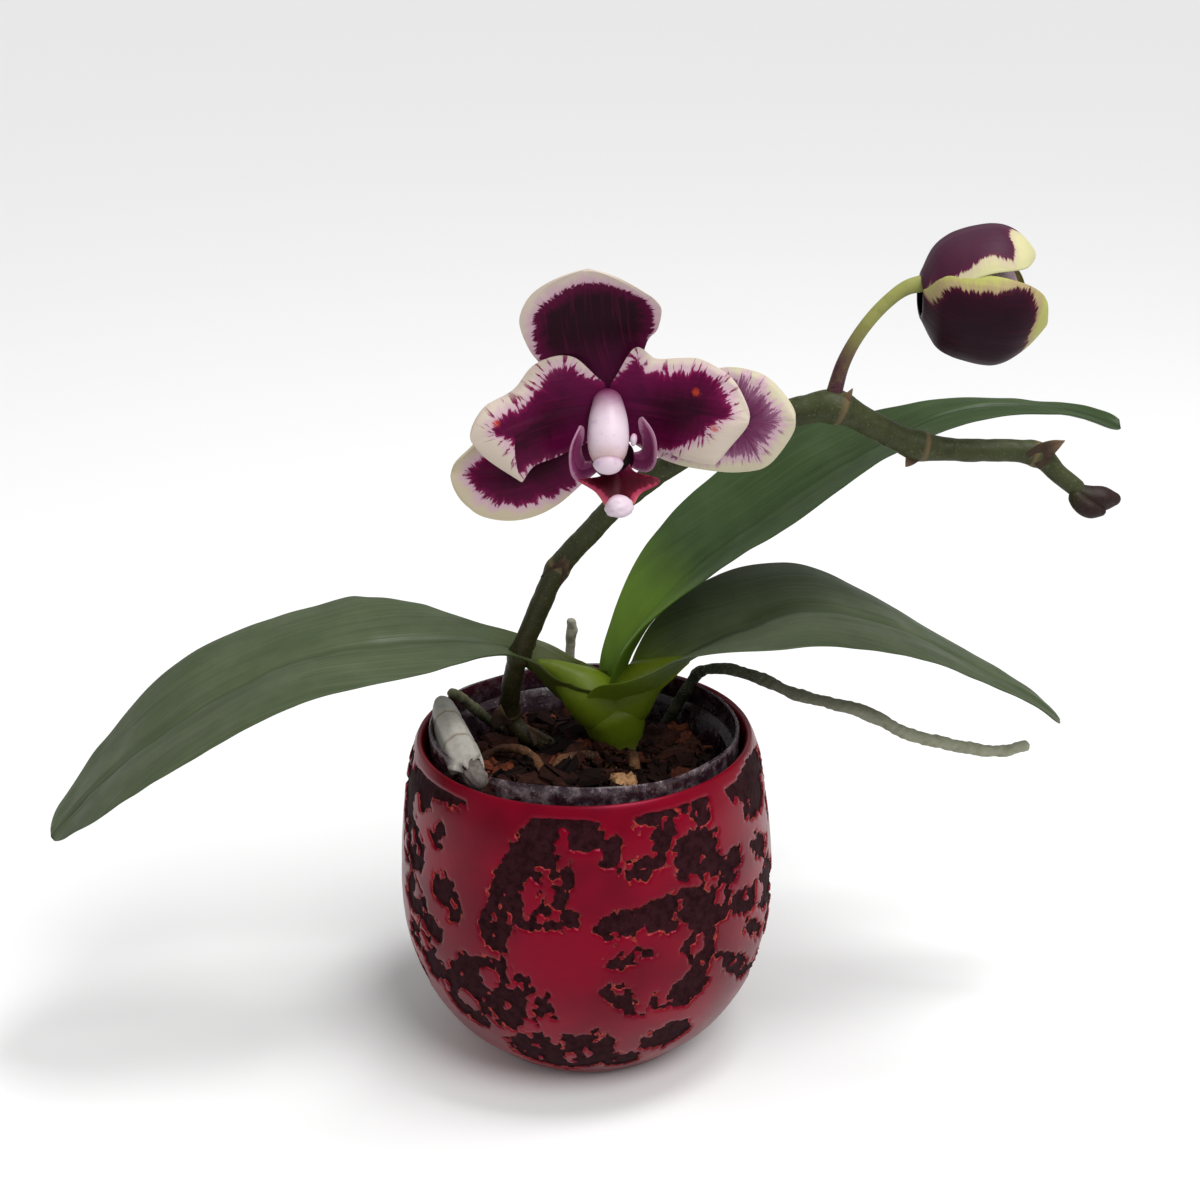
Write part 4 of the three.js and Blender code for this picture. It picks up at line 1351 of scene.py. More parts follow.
LEFT_LEAF = Blade(
    path=[
        (8, 9, 94),
        (-1, 6, 102),
        (-8, 6.5, 108),
        (-15, 7, 115.6),
        (-24, 5, 121.7),
        (-41, -1, 126.4),
        (-60, -8, 129),
        (-82.5, -11, 125),
        (-105.5, -14, 115),
        (-129, -17, 98.5),
        (-145.5, -19, 84),
        (-153.5, -20, 76.5),
    ],
    face=(0, -0.15, 1),
    minus=(5.5, 5.8, 6.5, 15, 21.5, 24.5, 25, 22.5, 15.5, 4.5),
    plus=(5.5, 6.2, 8, 19.5, 26, 27.5, 27.5, 26, 21, 8),
    fold=(3, 1.5, 0.4, 0.2, 0.16, 0.15, 0.15, 0.15, 0.1, 0.1),
    wrap=(0, 0, 0.1, 0.2, 0.24, 0.24, 0.2, 0.1, 0),
    thickness=LEAF_THICKNESS,
    rings=240,
    segments=112,
)

LOWER_RIGHT_LEAF = Blade(
    path=[
        (10, 8, 92),
        (13.4, 6, 102),
        (20, 4, 109.5),
        (30, 4, 118.5),
        (45.5, 5, 126.5),
        (63, 7, 131.5),
        (81, 9, 128),
        (98.5, 11, 120.5),
        (117, 13, 109.5),
        (133, 14, 99),
        (142, 15, 91.5),
    ],
    face=(0, -0.1, 1),
    minus=(4.5, 8, 17.5, 26, 24.5, 18, 11, 6.5, 4.5),
    plus=(4.5, 14, 22.5, 26, 23.5, 18, 11, 6.5, 4.5),
    fold=(1.8, 0.95, 0.55, 0.28, 0.18, 0.15, 0.15, 0.15, 0.1),
    wrap=(0, 0, 0.1, 0.2, 0.24, 0.24, 0.2, 0.1, 0),
    thickness=LEAF_THICKNESS,
    rings=220,
    segments=112,
)

UPPER_RIGHT_LEAF = Blade(
    path=[
        (9, 9, 104.5),
        (12, 9, 116),
        (18, 10, 127),
        (30, 13, 140),
        (62, 20, 163),
        (101.5, 27, 181.4),
        (139.5, 31, 183.8),
        (158, 33, 177.5),
    ],
    face=(-0.3, -0.2, 1),
    minus=(4, 9, 18.5, 25, 24, 15.5, 8, 4.5, 4.5),
    plus=(4, 11, 18, 19.5, 16.5, 11.5, 7.5, 5, 4.5),
    fold=(0.9, 0.65, 0.38, 0.25, 0.2, 0.2, 0.2, 0.1, 0.1),
    thickness=LEAF_THICKNESS,
    rings=220,
    segments=112,
)


@dataclass
class Crown:
    """Short stem that the leaves clasp, with the fleshy feet of the two low leaves."""

    stem: Stalk = Stalk(
        path=[(10, 8, 80), (10, 7.6, 90), (9, 7, 98), (7.4, 6.6, 104), (7, 6.5, 108)],
        radii=(5.4, 5.6, 7.2, 9.0, 9.6, 7.4),
        rings=70,
        segments=48,
        flute=0.02,
        flat=0.06,
    )
    finish: StemSkin = StemSkin(
        name="crown_skin",
        start=(136, 126, 76),
        end=(88, 104, 16),
        turn=0.36,
        fade=0.12,
        speckles=0.06,
        mottle=(70, 86, 10),
        mottled=0.35,
        rough=0.42,
    )

    def build(self) -> None:
        """Makes the crown, with the fleshy foot of each of the two low leaves."""
        to_left = [(9, 7, 96), (4, 6, 104), (-2, 5.5, 110), (-9, 6, 115), (-14, 6, 117)]
        to_right = [(10, 7, 96), (12.5, 7, 104), (17.5, 7, 110.5), (24, 6, 114.5), (31, 5, 118.5)]
        feet = [
            Stalk(to_left, (6, 8, 7.2, 4, 1.4), 60, 40),
            Stalk(to_right, (6, 7.6, 6.4, 3.8, 1.4), 60, 40),
        ]
        parts = [foot.build(f"leaf_foot_{k}", 52 + k) for k, foot in enumerate(feet)]
        for part in parts:
            write_value(part, "share", 0.9)
        crown = join([self.stem.build("crown_stem", 51), *parts], "crown_stem")
        settle(crown, self.finish.material(), Slot.CROWN_GREEN, "crown")


@dataclass
class Spike:
    """Flower spike with its nodes, dry bracts and the two tiny buds at its end."""

    stem: Stalk = Stalk(
        path=[
            (-3, 5, 87),
            (-7, 8, 87.5),
            (-13.5, 12, 89),
            (-19.5, 15, 91.5),
            (-22, 16, 95.5),
            (-21.5, 10.5, 106.4),
            (-19, 5, 118.5),
            (-15, 1.5, 129.3),
            (-6, -3, 150.4),
            (3.3, -7, 162.5),
            (11.5, -11, 172.5),
            (32.5, -19, 190),
            (59, -22, 200.5),
            (68, -22, 201.5),
            (77.5, -21, 196.5),
            (90, -20, 190),
            (102.5, -19, 188),
            (123.5, -18, 186),
            (129.5, -19, 180.5),
            (136, -20, 175.5),
        ],
        radii=(2.7, 2.8, 2.9, 3, 3.1, 3.2, 3.3, 3.5, 3.9, 3.6, 3.2, 3, 2.4),
        rings=360,
        segments=32,
        knots=[
            Knot((-22, 15.5, 98), 0.5, 2.5),
            Knot((-19, 4.5, 120.5), 0.7, 2.5),
            Knot((-6, -3, 149), 0.55, 2.2),
            Knot((68, -22, 201.5), 1.0, 4.0),
            Knot((91, -20, 189.5), 0.9, 4.0),
            Knot((123.5, -18, 186), 0.7, 3.0),
        ],
        grain=0.09,
        grain_size=9.0,
        bands=[(-22, 15.5, 97.5), (-5.5, -3, 151), (92.5, -20, 189), (122.5, -18, 186.3), (69.5, -22, 201)],
    )
    finish: StemSkin = StemSkin(
        name="spike_skin",
        start=(44, 38, 18),
        end=(56, 61, 34),
        turn=0.3,
        fade=0.2,
        speckle=(118, 118, 88),
        speckles=0.35,
        mottle=(34, 36, 16),
        mottled=0.5,
        rough=0.5,
        band=(112, 92, 66),
    )

    def _scales(self) -> bpy.types.Object:
        """Makes the dry bracts."""
        shapes = [
            ([(-8.8, -2, 146), (-5, -6.2, 152), (-2.6, -6.6, 156.5)], 3.0, 0.7),
            ([(-24.5, 13, 94), (-25.2, 11.5, 98), (-24.6, 10.4, 102)], 3.0, 0.5),
            ([(-20, 13, 118), (-15.2, 9.5, 121.5), (-13.6, 8, 125)], 2.6, 0.6),
            ([(90, -21, 188.6), (88.6, -22.2, 186.3), (87.4, -22.6, 184.6)], 2.3, 0.5),
            ([(121.5, -20.4, 185), (125.6, -20.8, 188.6), (130.2, -20.2, 190.6)], 3.0, 0.6),
            ([(65.5, -24.6, 199.5), (70.5, -24.4, 204), (72.6, -23.6, 207)], 2.4, 0.4),
            ([(-11, 9, 88), (-15, 11, 92), (-17, 11, 95)], 2.4, 0.6),
        ]
        scales = []
        for number, (path, width, fold) in enumerate(shapes):
            blade = Blade(
                path=path,
                face=TO_FRONT,
                minus=(width, width, 0.6 * width, 0.35),
                fold=(fold,),
                wrap=(0.5,),
                thickness=(0.8,),
                tip_round=0.2,
                rings=24,
                segments=20,
            )
            scales.append(blade.build(f"scale_{number}")[0])
        return join(scales, "spike_bracts")

    def build(self) -> None:
        """Makes the spike."""
        skin = self.finish.material()
        settle(self.stem.build("spike_stem", 52), skin, Slot.SPIKE_GREEN, "flower_spike")
        dry = StemSkin(
            "dry_bract",
            (58, 44, 34),
            (104, 82, 62),
            turn=0.75,
            speckles=0.1,
            mottle=(44, 28, 26),
            mottled=0.6,
            rough=0.7,
        )
        settle(self._scales(), dry.material(), Slot.SPIKE_GREEN)
        long_bud = [(133, -20, 177), (138, -20, 174.4), (146.4, -20, 173.6)]
        short_bud = [(132.5, -21, 176.4), (136.5, -22, 172.4), (142, -22.5, 170.8)]
        buds = [
            Stalk(long_bud, (1.8, 3.0, 3.3, 1.2), 30, 20, flute=0.03),
            Stalk(short_bud, (1.8, 2.6, 2.6, 1.0), 30, 20),
        ]
        tips = join([bud.build(f"tip_{k}", 60 + k) for k, bud in enumerate(buds)], "tip_buds")
        brown = StemSkin(
            "tip_bud_skin",
            (40, 38, 18),
            (40, 24, 22),
            turn=0.25,
            speckles=0.1,
            mottle=(24, 15, 14),
            mottled=0.5,
        )
        settle(tips, brown.material(), Slot.SPIKE_GREEN)


@dataclass
class Pedicels:
    """Stalks of the bud and of the open flower."""

    bud: Stalk = Stalk(
        path=[
            (67.5, -22, 203.5),
            (70.2, -22, 213.5),
            (74.5, -22, 221.7),
            (80.5, -22, 229),
            (86, -22, 233.2),
            (91.5, -22, 234.5),
        ],
        radii=(2.2, 1.9, 1.7, 1.7, 1.8, 2.3),
        rings=90,
        segments=24,
        flute=0.05,
        flutes=3,
    )
    flower: Stalk = Stalk(
        path=[
            (33, -18, 191),
            (30, -14, 199),
            (22, -14, 207),
            (13, -20, 209),
            (8.5, -27, 207.5),
            (8, -31.8, 207),
        ],
        radii=(2, 1.6, 1.5, 1.6, 2.2, 3),
        rings=70,
        segments=24,
        flute=0.05,
        flutes=3,
    )
    finish: StemSkin = StemSkin(
        name="pedicel_skin",
        start=(72, 38, 50),
        end=(140, 142, 80),
        turn=0.4,
        fade=0.22,
        speckles=0.1,
        speckle=(170, 168, 120),
        mottle=(104, 98, 48),
        mottled=0.35,
        rough=0.45,
    )

    def build(self) -> None:
        """Makes both stalks."""
        skin = self.finish.material()
        settle(self.bud.build("bud_stalk", 53), skin, Slot.PEDICEL_GREEN, "bud_pedicel")
        settle(self.flower.build("flower_stalk", 54), skin, Slot.PEDICEL_GREEN, "flower_pedicel")


# The flower


@dataclass
class Petal:
    """A sepal or petal of the open flower or the bud.

    cream is the width of its pale margin, evenly spaced from the base on the minus side, round the
    tip, to the base on the plus side.
    """

    name: str
    node: str
    blade: Blade
    cream: Sequence[float]
    finish: PetalSkin
    seed: int
    ruffle: float = 0.8
    hem: float = 0.5
    slot: Slot = Slot.PETAL_PURPLE
    spots: Sequence[Point] = ()
    spot_size: float = 1.6

    def relief(self, across: Array, share: Array, upper: Array) -> Array:
        """Gives the petal's soft waves, its faint veins and its slightly lifted hem."""
        length = Route(self.blade.path).length
        flat = np.stack([across * 15, share * length, np.zeros_like(share)], axis=-1)
        free = smooth_step(share, 0.1, 0.5)
        waves = self.ruffle * Ripple(self.seed, 21)(flat) * free * (0.3 + 0.7 * across**2)
        groove = 0.25 * np.exp(-((across / 0.07) ** 2)) * rounded(share, 0.3, 0.3)
        hem = self.hem * smooth_step(np.abs(across), 0.86, 1.0) * free
        return waves - groove - hem

    def build(self) -> None:
        """Makes the petal."""
        petal, across, share, _ = self.blade.build(self.name, self.relief)
        inward, ray, turn = self.blade.to_margin(across, share)
        write_value(petal, "depth", inward - along(self.cream, turn))
        write_value(petal, "ray", ray)
        nearness = np.zeros_like(share)
        for place in self.spots:
            away = np.linalg.norm((read_points(petal) - place)[:, [0, 2]], axis=1) / self.spot_size
            nearness = np.maximum(nearness, np.exp(-(away**2)))
        write_value(petal, "spot", nearness)
        settle(petal, self.finish.material(), self.slot, self.node)


def sepal_blade(path: Sequence[Point], widths: Sequence[float], **changes: object) -> Blade:
    """Gives a sepal's or petal's shape, from its path, its half widths and what differs."""
    shape = {"wrap": (0.2,), "thickness": (1.2, 0.9), "edge": 0.75, "tip_round": 0.22, "rings": 120}
    return Blade(path=path, face=TO_FRONT, minus=widths, **{**shape, **changes})


@dataclass
class Flower:
    """The open flower: three sepals, two petals, the column and the lip."""

    def petals(self) -> list[Petal]:
        """Gives the five broad parts, back to front."""
        dorsal = Petal(
            "dorsal_sepal",
            "flower_dorsal_sepal",
            sepal_blade(
                [
                    (8, -33, 209.5),
                    (6.5, -31.5, 216),
                    (5, -32.5, 222),
                    (4, -35.5, 230),
                    (3.5, -39, 237.5),
                    (3.5, -42.5, 244),
                ],
                (6.5, 9.5, 12.8, 16, 17.5, 18.4, 18.6, 18.4, 17),
                wrap=(0, 0, -0.25, -0.45, -0.5),
                tip_round=0.36,
            ),
            (0, 0, 1.5, 3.4, 4.2, 4.4, 3.8, 3.2, 2.6, 2.2, 1, 0, 0),
            PetalSkin("dorsal_skin", dark=(32, 1, 16), dark_start=0.5, dark_end=5, tongue=1.8, tear=2.2),
            71,
            ruffle=0.4,
        )
        left = Petal(
            "left_sepal",
            "flower_left_sepal",
            sepal_blade(
                [
                    (6, -34, 205),
                    (-0.5, -34, 197),
                    (-8.5, -34.5, 192),
                    (-18, -35, 188.5),
                    (-27, -36, 189),
                    (-33, -37, 190.5),
                ],
                (4, 8, 10.5, 12.4, 13, 11, 7.5),
            ),
            (0, 0.5, 2.5, 4.5, 4.6, 4.2, 4.4, 2, 1.5, 1, 0.5),
            PetalSkin(
                "left_sepal_skin",
                cream=(188, 176, 150),
                dark=(48, 2, 26),
                tongue=3.4,
                tear=2.2,
                streak=2,
            ),
            72,
        )
        right = Petal(
            "right_sepal",
            "flower_right_sepal",
            sepal_blade(
                [(10.5, -34, 205), (21.5, -33.5, 202), (34.5, -33, 201), (47.5, -34, 201.5), (56.5, -36, 202)],
                (4, 8, 10, 13.5, 14.3, 12, 8),
                plus=(4, 8, 11, 12.8, 13.8, 12.5, 8),
            ),
            (0.5, 1, 1.5, 2.5, 3.5, 4.5, 4.5, 4.5, 4.5, 3.5, 2, 1),
            PetalSkin(
                "right_sepal_skin",
                cream=(192, 184, 158),
                magenta=(132, 84, 112),
                purple=(104, 48, 82),
                dark=(64, 12, 44),
                dark_start=3.5,
                tongue=4.6,
                tear=3.4,
                streak=4,
            ),
            73,
        )
        left_petal = Petal(
            "left_petal",
            "flower_left_petal",
            sepal_blade(
                [(8, -36, 208), (-4.5, -38, 207), (-12, -42, 206), (-19.5, -45, 204), (-27, -45, 200.5)],
                (8, 10.5, 12.5, 13, 16, 12.5),
                plus=(5, 12.5, 12.5, 8, 7, 5.5),
                wrap=(0, 0.2, 0.4, 0.5),
            ),
            (0, 0, 0, 0.5, 4, 8, 7.5, 5.5, 4.2, 4.2, 3, 2.4, 1),
            PetalSkin("left_petal_skin", tongue=2.4, tear=2.6, streak=6),
            74,
            ruffle=1.1,
            spots=[(-20.5, -45, 205.5)],
        )
        right_petal = Petal(
            "right_petal",
            "flower_right_petal",
            sepal_blade(
                [(8, -36, 208.5), (19, -38, 207.5), (27.5, -42, 207), (36.5, -45.5, 206.5), (44, -45.5, 205)],
                (4, 14, 12, 13, 13.7, 12.5, 10, 7),
                plus=(10, 10, 11.5, 12, 13, 13.5, 13, 8),
                wrap=(0, 0.2, 0.4, 0.5),
            ),
            (0, 2.2, 3.6, 3.4, 2.6, 3.4, 5, 8, 10, 7, 1, 0, 0),
            PetalSkin("right_petal_skin", tongue=2.4, tear=2.6, streak=5),
            75,
            ruffle=1.1,
            spots=[(30.5, -44, 212), (35, -45.5, 203.5)],
        )
        return [dorsal, left, right, left_petal, right_petal]

    def column(self) -> None:
        """Makes the column, with the anther cap at its end."""
        line = [(8, -35.6, 211), (8, -39, 208), (8, -44, 203.5), (7.8, -47.4, 197.6), (7.8, -48, 193.6)]
        club = Stalk(line, (3, 3.9, 4.7, 5.2, 5.3, 4.6, 2.6), 80, 48)
        tip = [(7.8, -48.6, 197.4), (7.8, -50, 195.4), (7.8, -49.6, 193.4)]
        cap = Stalk(tip, (2.6, 3.9, 3.4, 1.5), 40, 32, flute=0.03, flutes=2)
        column = join([club.build("column_club", 55), cap.build("anther_cap", 56)], "flower_club")
        skin = WaxySkin("column_skin", end=(176, 138, 118), end_reach=0.66, start_reach=0.6)
        settle(column, skin.material(), Slot.COLUMN_WHITE, "flower_column")

    def lip(self) -> None:
        """Makes the lip: throat, side lobes, pointed middle lobe and the pale swelling on it."""
        throat = Stalk([(8.5, -36, 199), (9, -40, 195), (10, -45, 191.5)], (3, 5.6, 4.6), 40, 28, flat=-0.25)
        maroon = PetalSkin(
            "throat_skin",
            magenta=(66, 8, 24),
            purple=(40, 2, 12),
            dark=(12, 0, 5),
            dark_start=1,
            dark_end=3,
        )
        piece = throat.build("lip_throat", 57)
        for name, value in (("depth", 6.0), ("ray", 0.0), ("across", 0.0)):
            write_value(piece, name, value)
        settle(piece, maroon.material(), Slot.PETAL_PURPLE, "flower_lip")
        mauve = PetalSkin(
            "side_lobe_skin",
            cream=(176, 140, 160),
            blush=(160, 112, 138),
            magenta=(134, 62, 104),
            purple=(120, 46, 88),
            dark=(96, 22, 62),
            tongue=1.0,
            tear=1.0,
        )
        left = [(6, -40, 193), (0.5, -43, 192), (-1.2, -46, 198), (1, -46.5, 205)]
        right = [(12, -40, 194), (18, -43, 194.5), (19, -46, 201), (16.5, -46.5, 207)]
        hem = (0.4, 0.8, 1.2, 0.8, 0.4)
        sides = [("left_side_lobe", left, (1, -0.6, 0)), ("right_side_lobe", right, (-1, -0.6, 0))]
        for number, (name, path, face) in enumerate(sides):
            blade = Blade(
                path,
                face,
                (1.6, 3.2, 3.4, 2.6),
                fold=(0.25,),
                thickness=(0.9,),
                tip_round=0.25,
                rings=70,
                segments=56,
            )
            Petal(name, "flower_lip", blade, hem, mauve, 76 + number, 0.3, 0.2).build()
        middle = Blade(
            [(9.5, -41, 194), (10.5, -46, 190.5), (10.5, -50, 187), (10.7, -53, 183)],
            (0, -0.7, 0.7),
            (3, 3.4, 4.6, 10.5, 6, 4, 3),
            fold=(0.25,),
            thickness=(1.4,),
            tip_round=0.2,
            rings=80,
            segments=64,
        )
        red = PetalSkin(
            "middle_lobe_skin",
            cream=(196, 120, 110),
            blush=(156, 50, 78),
            magenta=(84, 8, 30),
            purple=(60, 4, 18),
            dark=(50, 3, 12),
            tongue=0.8,
            tear=0.8,
        )
        hem = (0, 0.2, 0.2, 1.4, 2.5, 1.4, 0.2, 0.2, 0)
        Petal("middle_lobe", "flower_lip", middle, hem, red, 78, 0.3, 0.2).build()
        bulge = [(9.6, -52, 188), (10.4, -53.8, 185.4), (10.8, -54, 182.8)]
        pads = [
            Stalk(bulge, (1.2, 3.2, 3.4, 1.8), 40, 32, flat=-0.15, grain=0.2),
            Stalk([(14.6, -46, 202.5), (14.2, -47, 199.4)], (0.6, 0.9, 0.4), 20, 16),
        ]
        swelling = join([pad.build(f"pad_{k}", 58 + k) for k, pad in enumerate(pads)], "lip_swelling")
        pale = WaxySkin("swelling_skin", middle=(206, 188, 200), start=(192, 140, 166), end=(168, 84, 124))
        settle(swelling, pale.material(), Slot.COLUMN_WHITE)

    def build(self) -> None:
        """Makes the flower."""
        for petal in self.petals():
            petal.build()
        self.column()
        self.lip()


@dataclass
class Bud:
    """Swelling bud on a level axis, just splitting: thick sepals round pale folded petals."""

    start: Point = (89.5, -22, 230.8)
    end: Point = (122, -22, 232)
    radii: Sequence[float] = (5.5, 12.8, 15.4, 16.6, 17.2, 17, 15.2, 11.5, 5.5)
    spread: Sequence[float] = (1.12, 1.12, 1.1, 1.04, 0.98, 0.92, 0.74)

    def axis(self, share: Array) -> Array:
        """Gives the points at shares along the bud's axis."""
        start, end = np.array(self.start), np.array(self.end)
        return start + np.asarray(share)[..., None] * (end - start)

    def sepal(self, around: float, reach: float, droop: float) -> Blade:
        """Gives the shape of one sepal, a patch of the bud's round wall.

        Args:
            around: The angle of its middle from straight up, in radians.
            reach: The share of the bud's length that it covers.
            droop: How far its tip hangs below the axis.

        Returns:
            Its shape.
        """
        outwards = np.array((0, -math.sin(around), math.cos(around)))
        places = np.linspace(0, 1, len(self.radii))
        wall = along(self.radii, reach * places)
        path = self.axis(reach * places) + wall[:, None] * outwards
        path[:, 2] -= droop * places**3
        return Blade(
            path=path.tolist(),
            face=tuple(outwards),
            minus=tuple(wall * along(self.spread, places)),
            wrap=self.spread,
            thickness=(1.5,),
            edge=0.8,
            even=False,
            level=True,
            tip_round=0.16,
            rings=130,
        )

    def build(self) -> None:
        """Makes the bud."""
        skin = PetalSkin(
            "bud_skin",
            cream=(192, 188, 142),
            blush=(186, 174, 144),
            magenta=(82, 22, 52),
            purple=(66, 28, 48),
            dark=(66, 34, 52),
            flushed=0.0,
            tongue=1.6,
            tear=1.8,
        )
        deep = PetalSkin(
            "bud_front_skin",
            cream=(166, 166, 92),
            blush=(158, 140, 104),
            magenta=(62, 6, 32),
            purple=(38, 8, 24),
            dark=(30, 7, 19),
            flushed=0.0,
            tongue=1.8,
            tear=1.9,
        )
        third = 0.67 * math.pi
        top = (0, 0, 0, 0, 1, 3, 5, 8, 7, 2, 4, 2, 0, 0)
        front = (2, 2, 4, 3, 0.6, 3, 8, 7, 2, 0.5, 0, 0, 0, 0)
        back = (0, 0, 0, 0.5, 1, 3, 6, 4, 3, 2, 1, 1, 0, 0)
        sepals = [
            ("bud_top", "bud_upper_sepal", 0.0, 0.9, 0.0, top, skin),
            ("bud_front", "bud_front_sepal", third, 1.0, 5.0, front, deep),
            ("bud_back", "bud_back_sepal", -third, 0.92, 3.0, back, deep),
        ]
        for number, (name, node, around, reach, droop, cream, finish) in enumerate(sepals):
            blade = self.sepal(around, reach, droop)
            Petal(name, node, blade, cream, finish, 81 + number, 0.25, 0.3, Slot.BUD_PURPLE).build()
        core = Stalk(
            self.axis(np.array([0.06, 0.35, 0.6, 0.79])).tolist(),
            (4, 11.5, 14, 13.5, 9),
            rings=60,
            segments=72,
            flute=0.02,
            flutes=3,
        )
        pale = WaxySkin(
            "bud_petal_skin",
            middle=(192, 178, 172),
            start=(150, 130, 118),
            end=(180, 138, 164),
            end_reach=0.6,
        )
        settle(core.build("bud_core", 59), pale.material(), Slot.PETAL_PALE, "bud_petals")


# Roots


@dataclass
class Root:
    """An aerial root with its uneven skin."""

    name: str
    node: str
    shape: Stalk
    finish: StemSkin
    slot: Slot
    seed: int

    def build(self) -> None:
        """Makes the root."""
        settle(self.shape.build(self.name, self.seed), self.finish.material(), self.slot, self.node)


def roots() -> list[Root]:
    """Gives the roots that grow out of the bark."""
    silver = StemSkin(
        "right_root_skin",
        (32, 36, 24),
        (144, 146, 126),
        turn=0.42,
        fade=0.32,
        speckle=(176, 176, 160),
        speckles=0.35,
        mottle=(96, 88, 64),
        mottled=0.35,
        rough=0.72,
        ribbed=0.15,
    )
    grey = StemSkin(
        "grey_root_skin",
        (72, 76, 58),
        (150, 148, 132),
        mottle=(96, 88, 70),
        mottled=0.4,
        rough=0.72,
        ribbed=0.12,
    )
    olive = StemSkin(
        "left_root_skin",
        (48, 50, 30),
        (104, 104, 80),
        mottle=(44, 40, 26),
        mottled=0.5,
        rough=0.7,
        ribbed=0.12,
    )
    brown = StemSkin(
        "brown_root_skin",
        (58, 34, 24),
        (100, 66, 42),
        mottle=(28, 15, 12),
        mottled=0.7,
        rough=0.8,
        ribbed=0.25,
    )
    uneven = {"grain": 0.22, "grain_size": 7.0, "segments": 20}
    right = Stalk(
        [
            (24, 26, 86),
            (31, 29, 97.5),
            (35.5, 31.5, 102.3),
            (43, 32, 103),
            (53.5, 30, 100.5),
            (62.5, 28, 96.5),
            (86.5, 24, 90.5),
            (96, 22, 85.5),
            (110.5, 20, 82),
            (125.5, 18, 80.5),
            (134, 17, 83),
        ],
        (1.9, 1.7, 1.8, 1.9, 1.9, 1.7),
        rings=220,
        knots=[Knot((86.5, 24, 90.5), 0.25, 4), Knot((54, 30, 100), 0.2, 5)],
        **uneven,
    )
    upright = Stalk([(-4.5, 31, 82), (-4.2, 32, 106), (-3.3, 32, 120.5)], (1.6, 1.6, 1.5), **uneven)
    left = Stalk([(-24, 27, 85), (-30.5, 24, 92), (-36, 20.5, 99), (-40, 16.5, 103.8)], (1.5,), **uneven)
    stub = Stalk([(13, 2, 89), (14, -4, 90.5), (15, -10, 88.5)], (2, 1.7, 1.4), **uneven)
    middle = Stalk([(5, 0, 89), (-1, -3, 91.5), (-7, -7, 91.5), (-11, -11, 87)], (1.5, 1.4, 1.2), **uneven)
    bend = [(-31, 0, 88), (-26, -1, 92.5), (-19, -4, 94), (-13, -10, 92), (-10, -17, 86)]
    arc = Stalk(bend, (1.3,), **uneven)
    return [
        Root("right_root", "root_right", right, silver, Slot.ROOT_GREEN, 91),
        Root("upright_root", "root_upright", upright, grey, Slot.ROOT_GREEN, 92),
        Root("left_root", "root_left", left, olive, Slot.ROOT_GREEN, 93),
        Root("front_stub", "root_stub_front", stub, brown, Slot.ROOT_BROWN, 94),
        Root("middle_arc", "root_arc_middle", middle, brown, Slot.ROOT_BROWN, 95),
        Root("left_arc", "root_arc_left", arc, brown, Slot.ROOT_BROWN, 96),
    ]


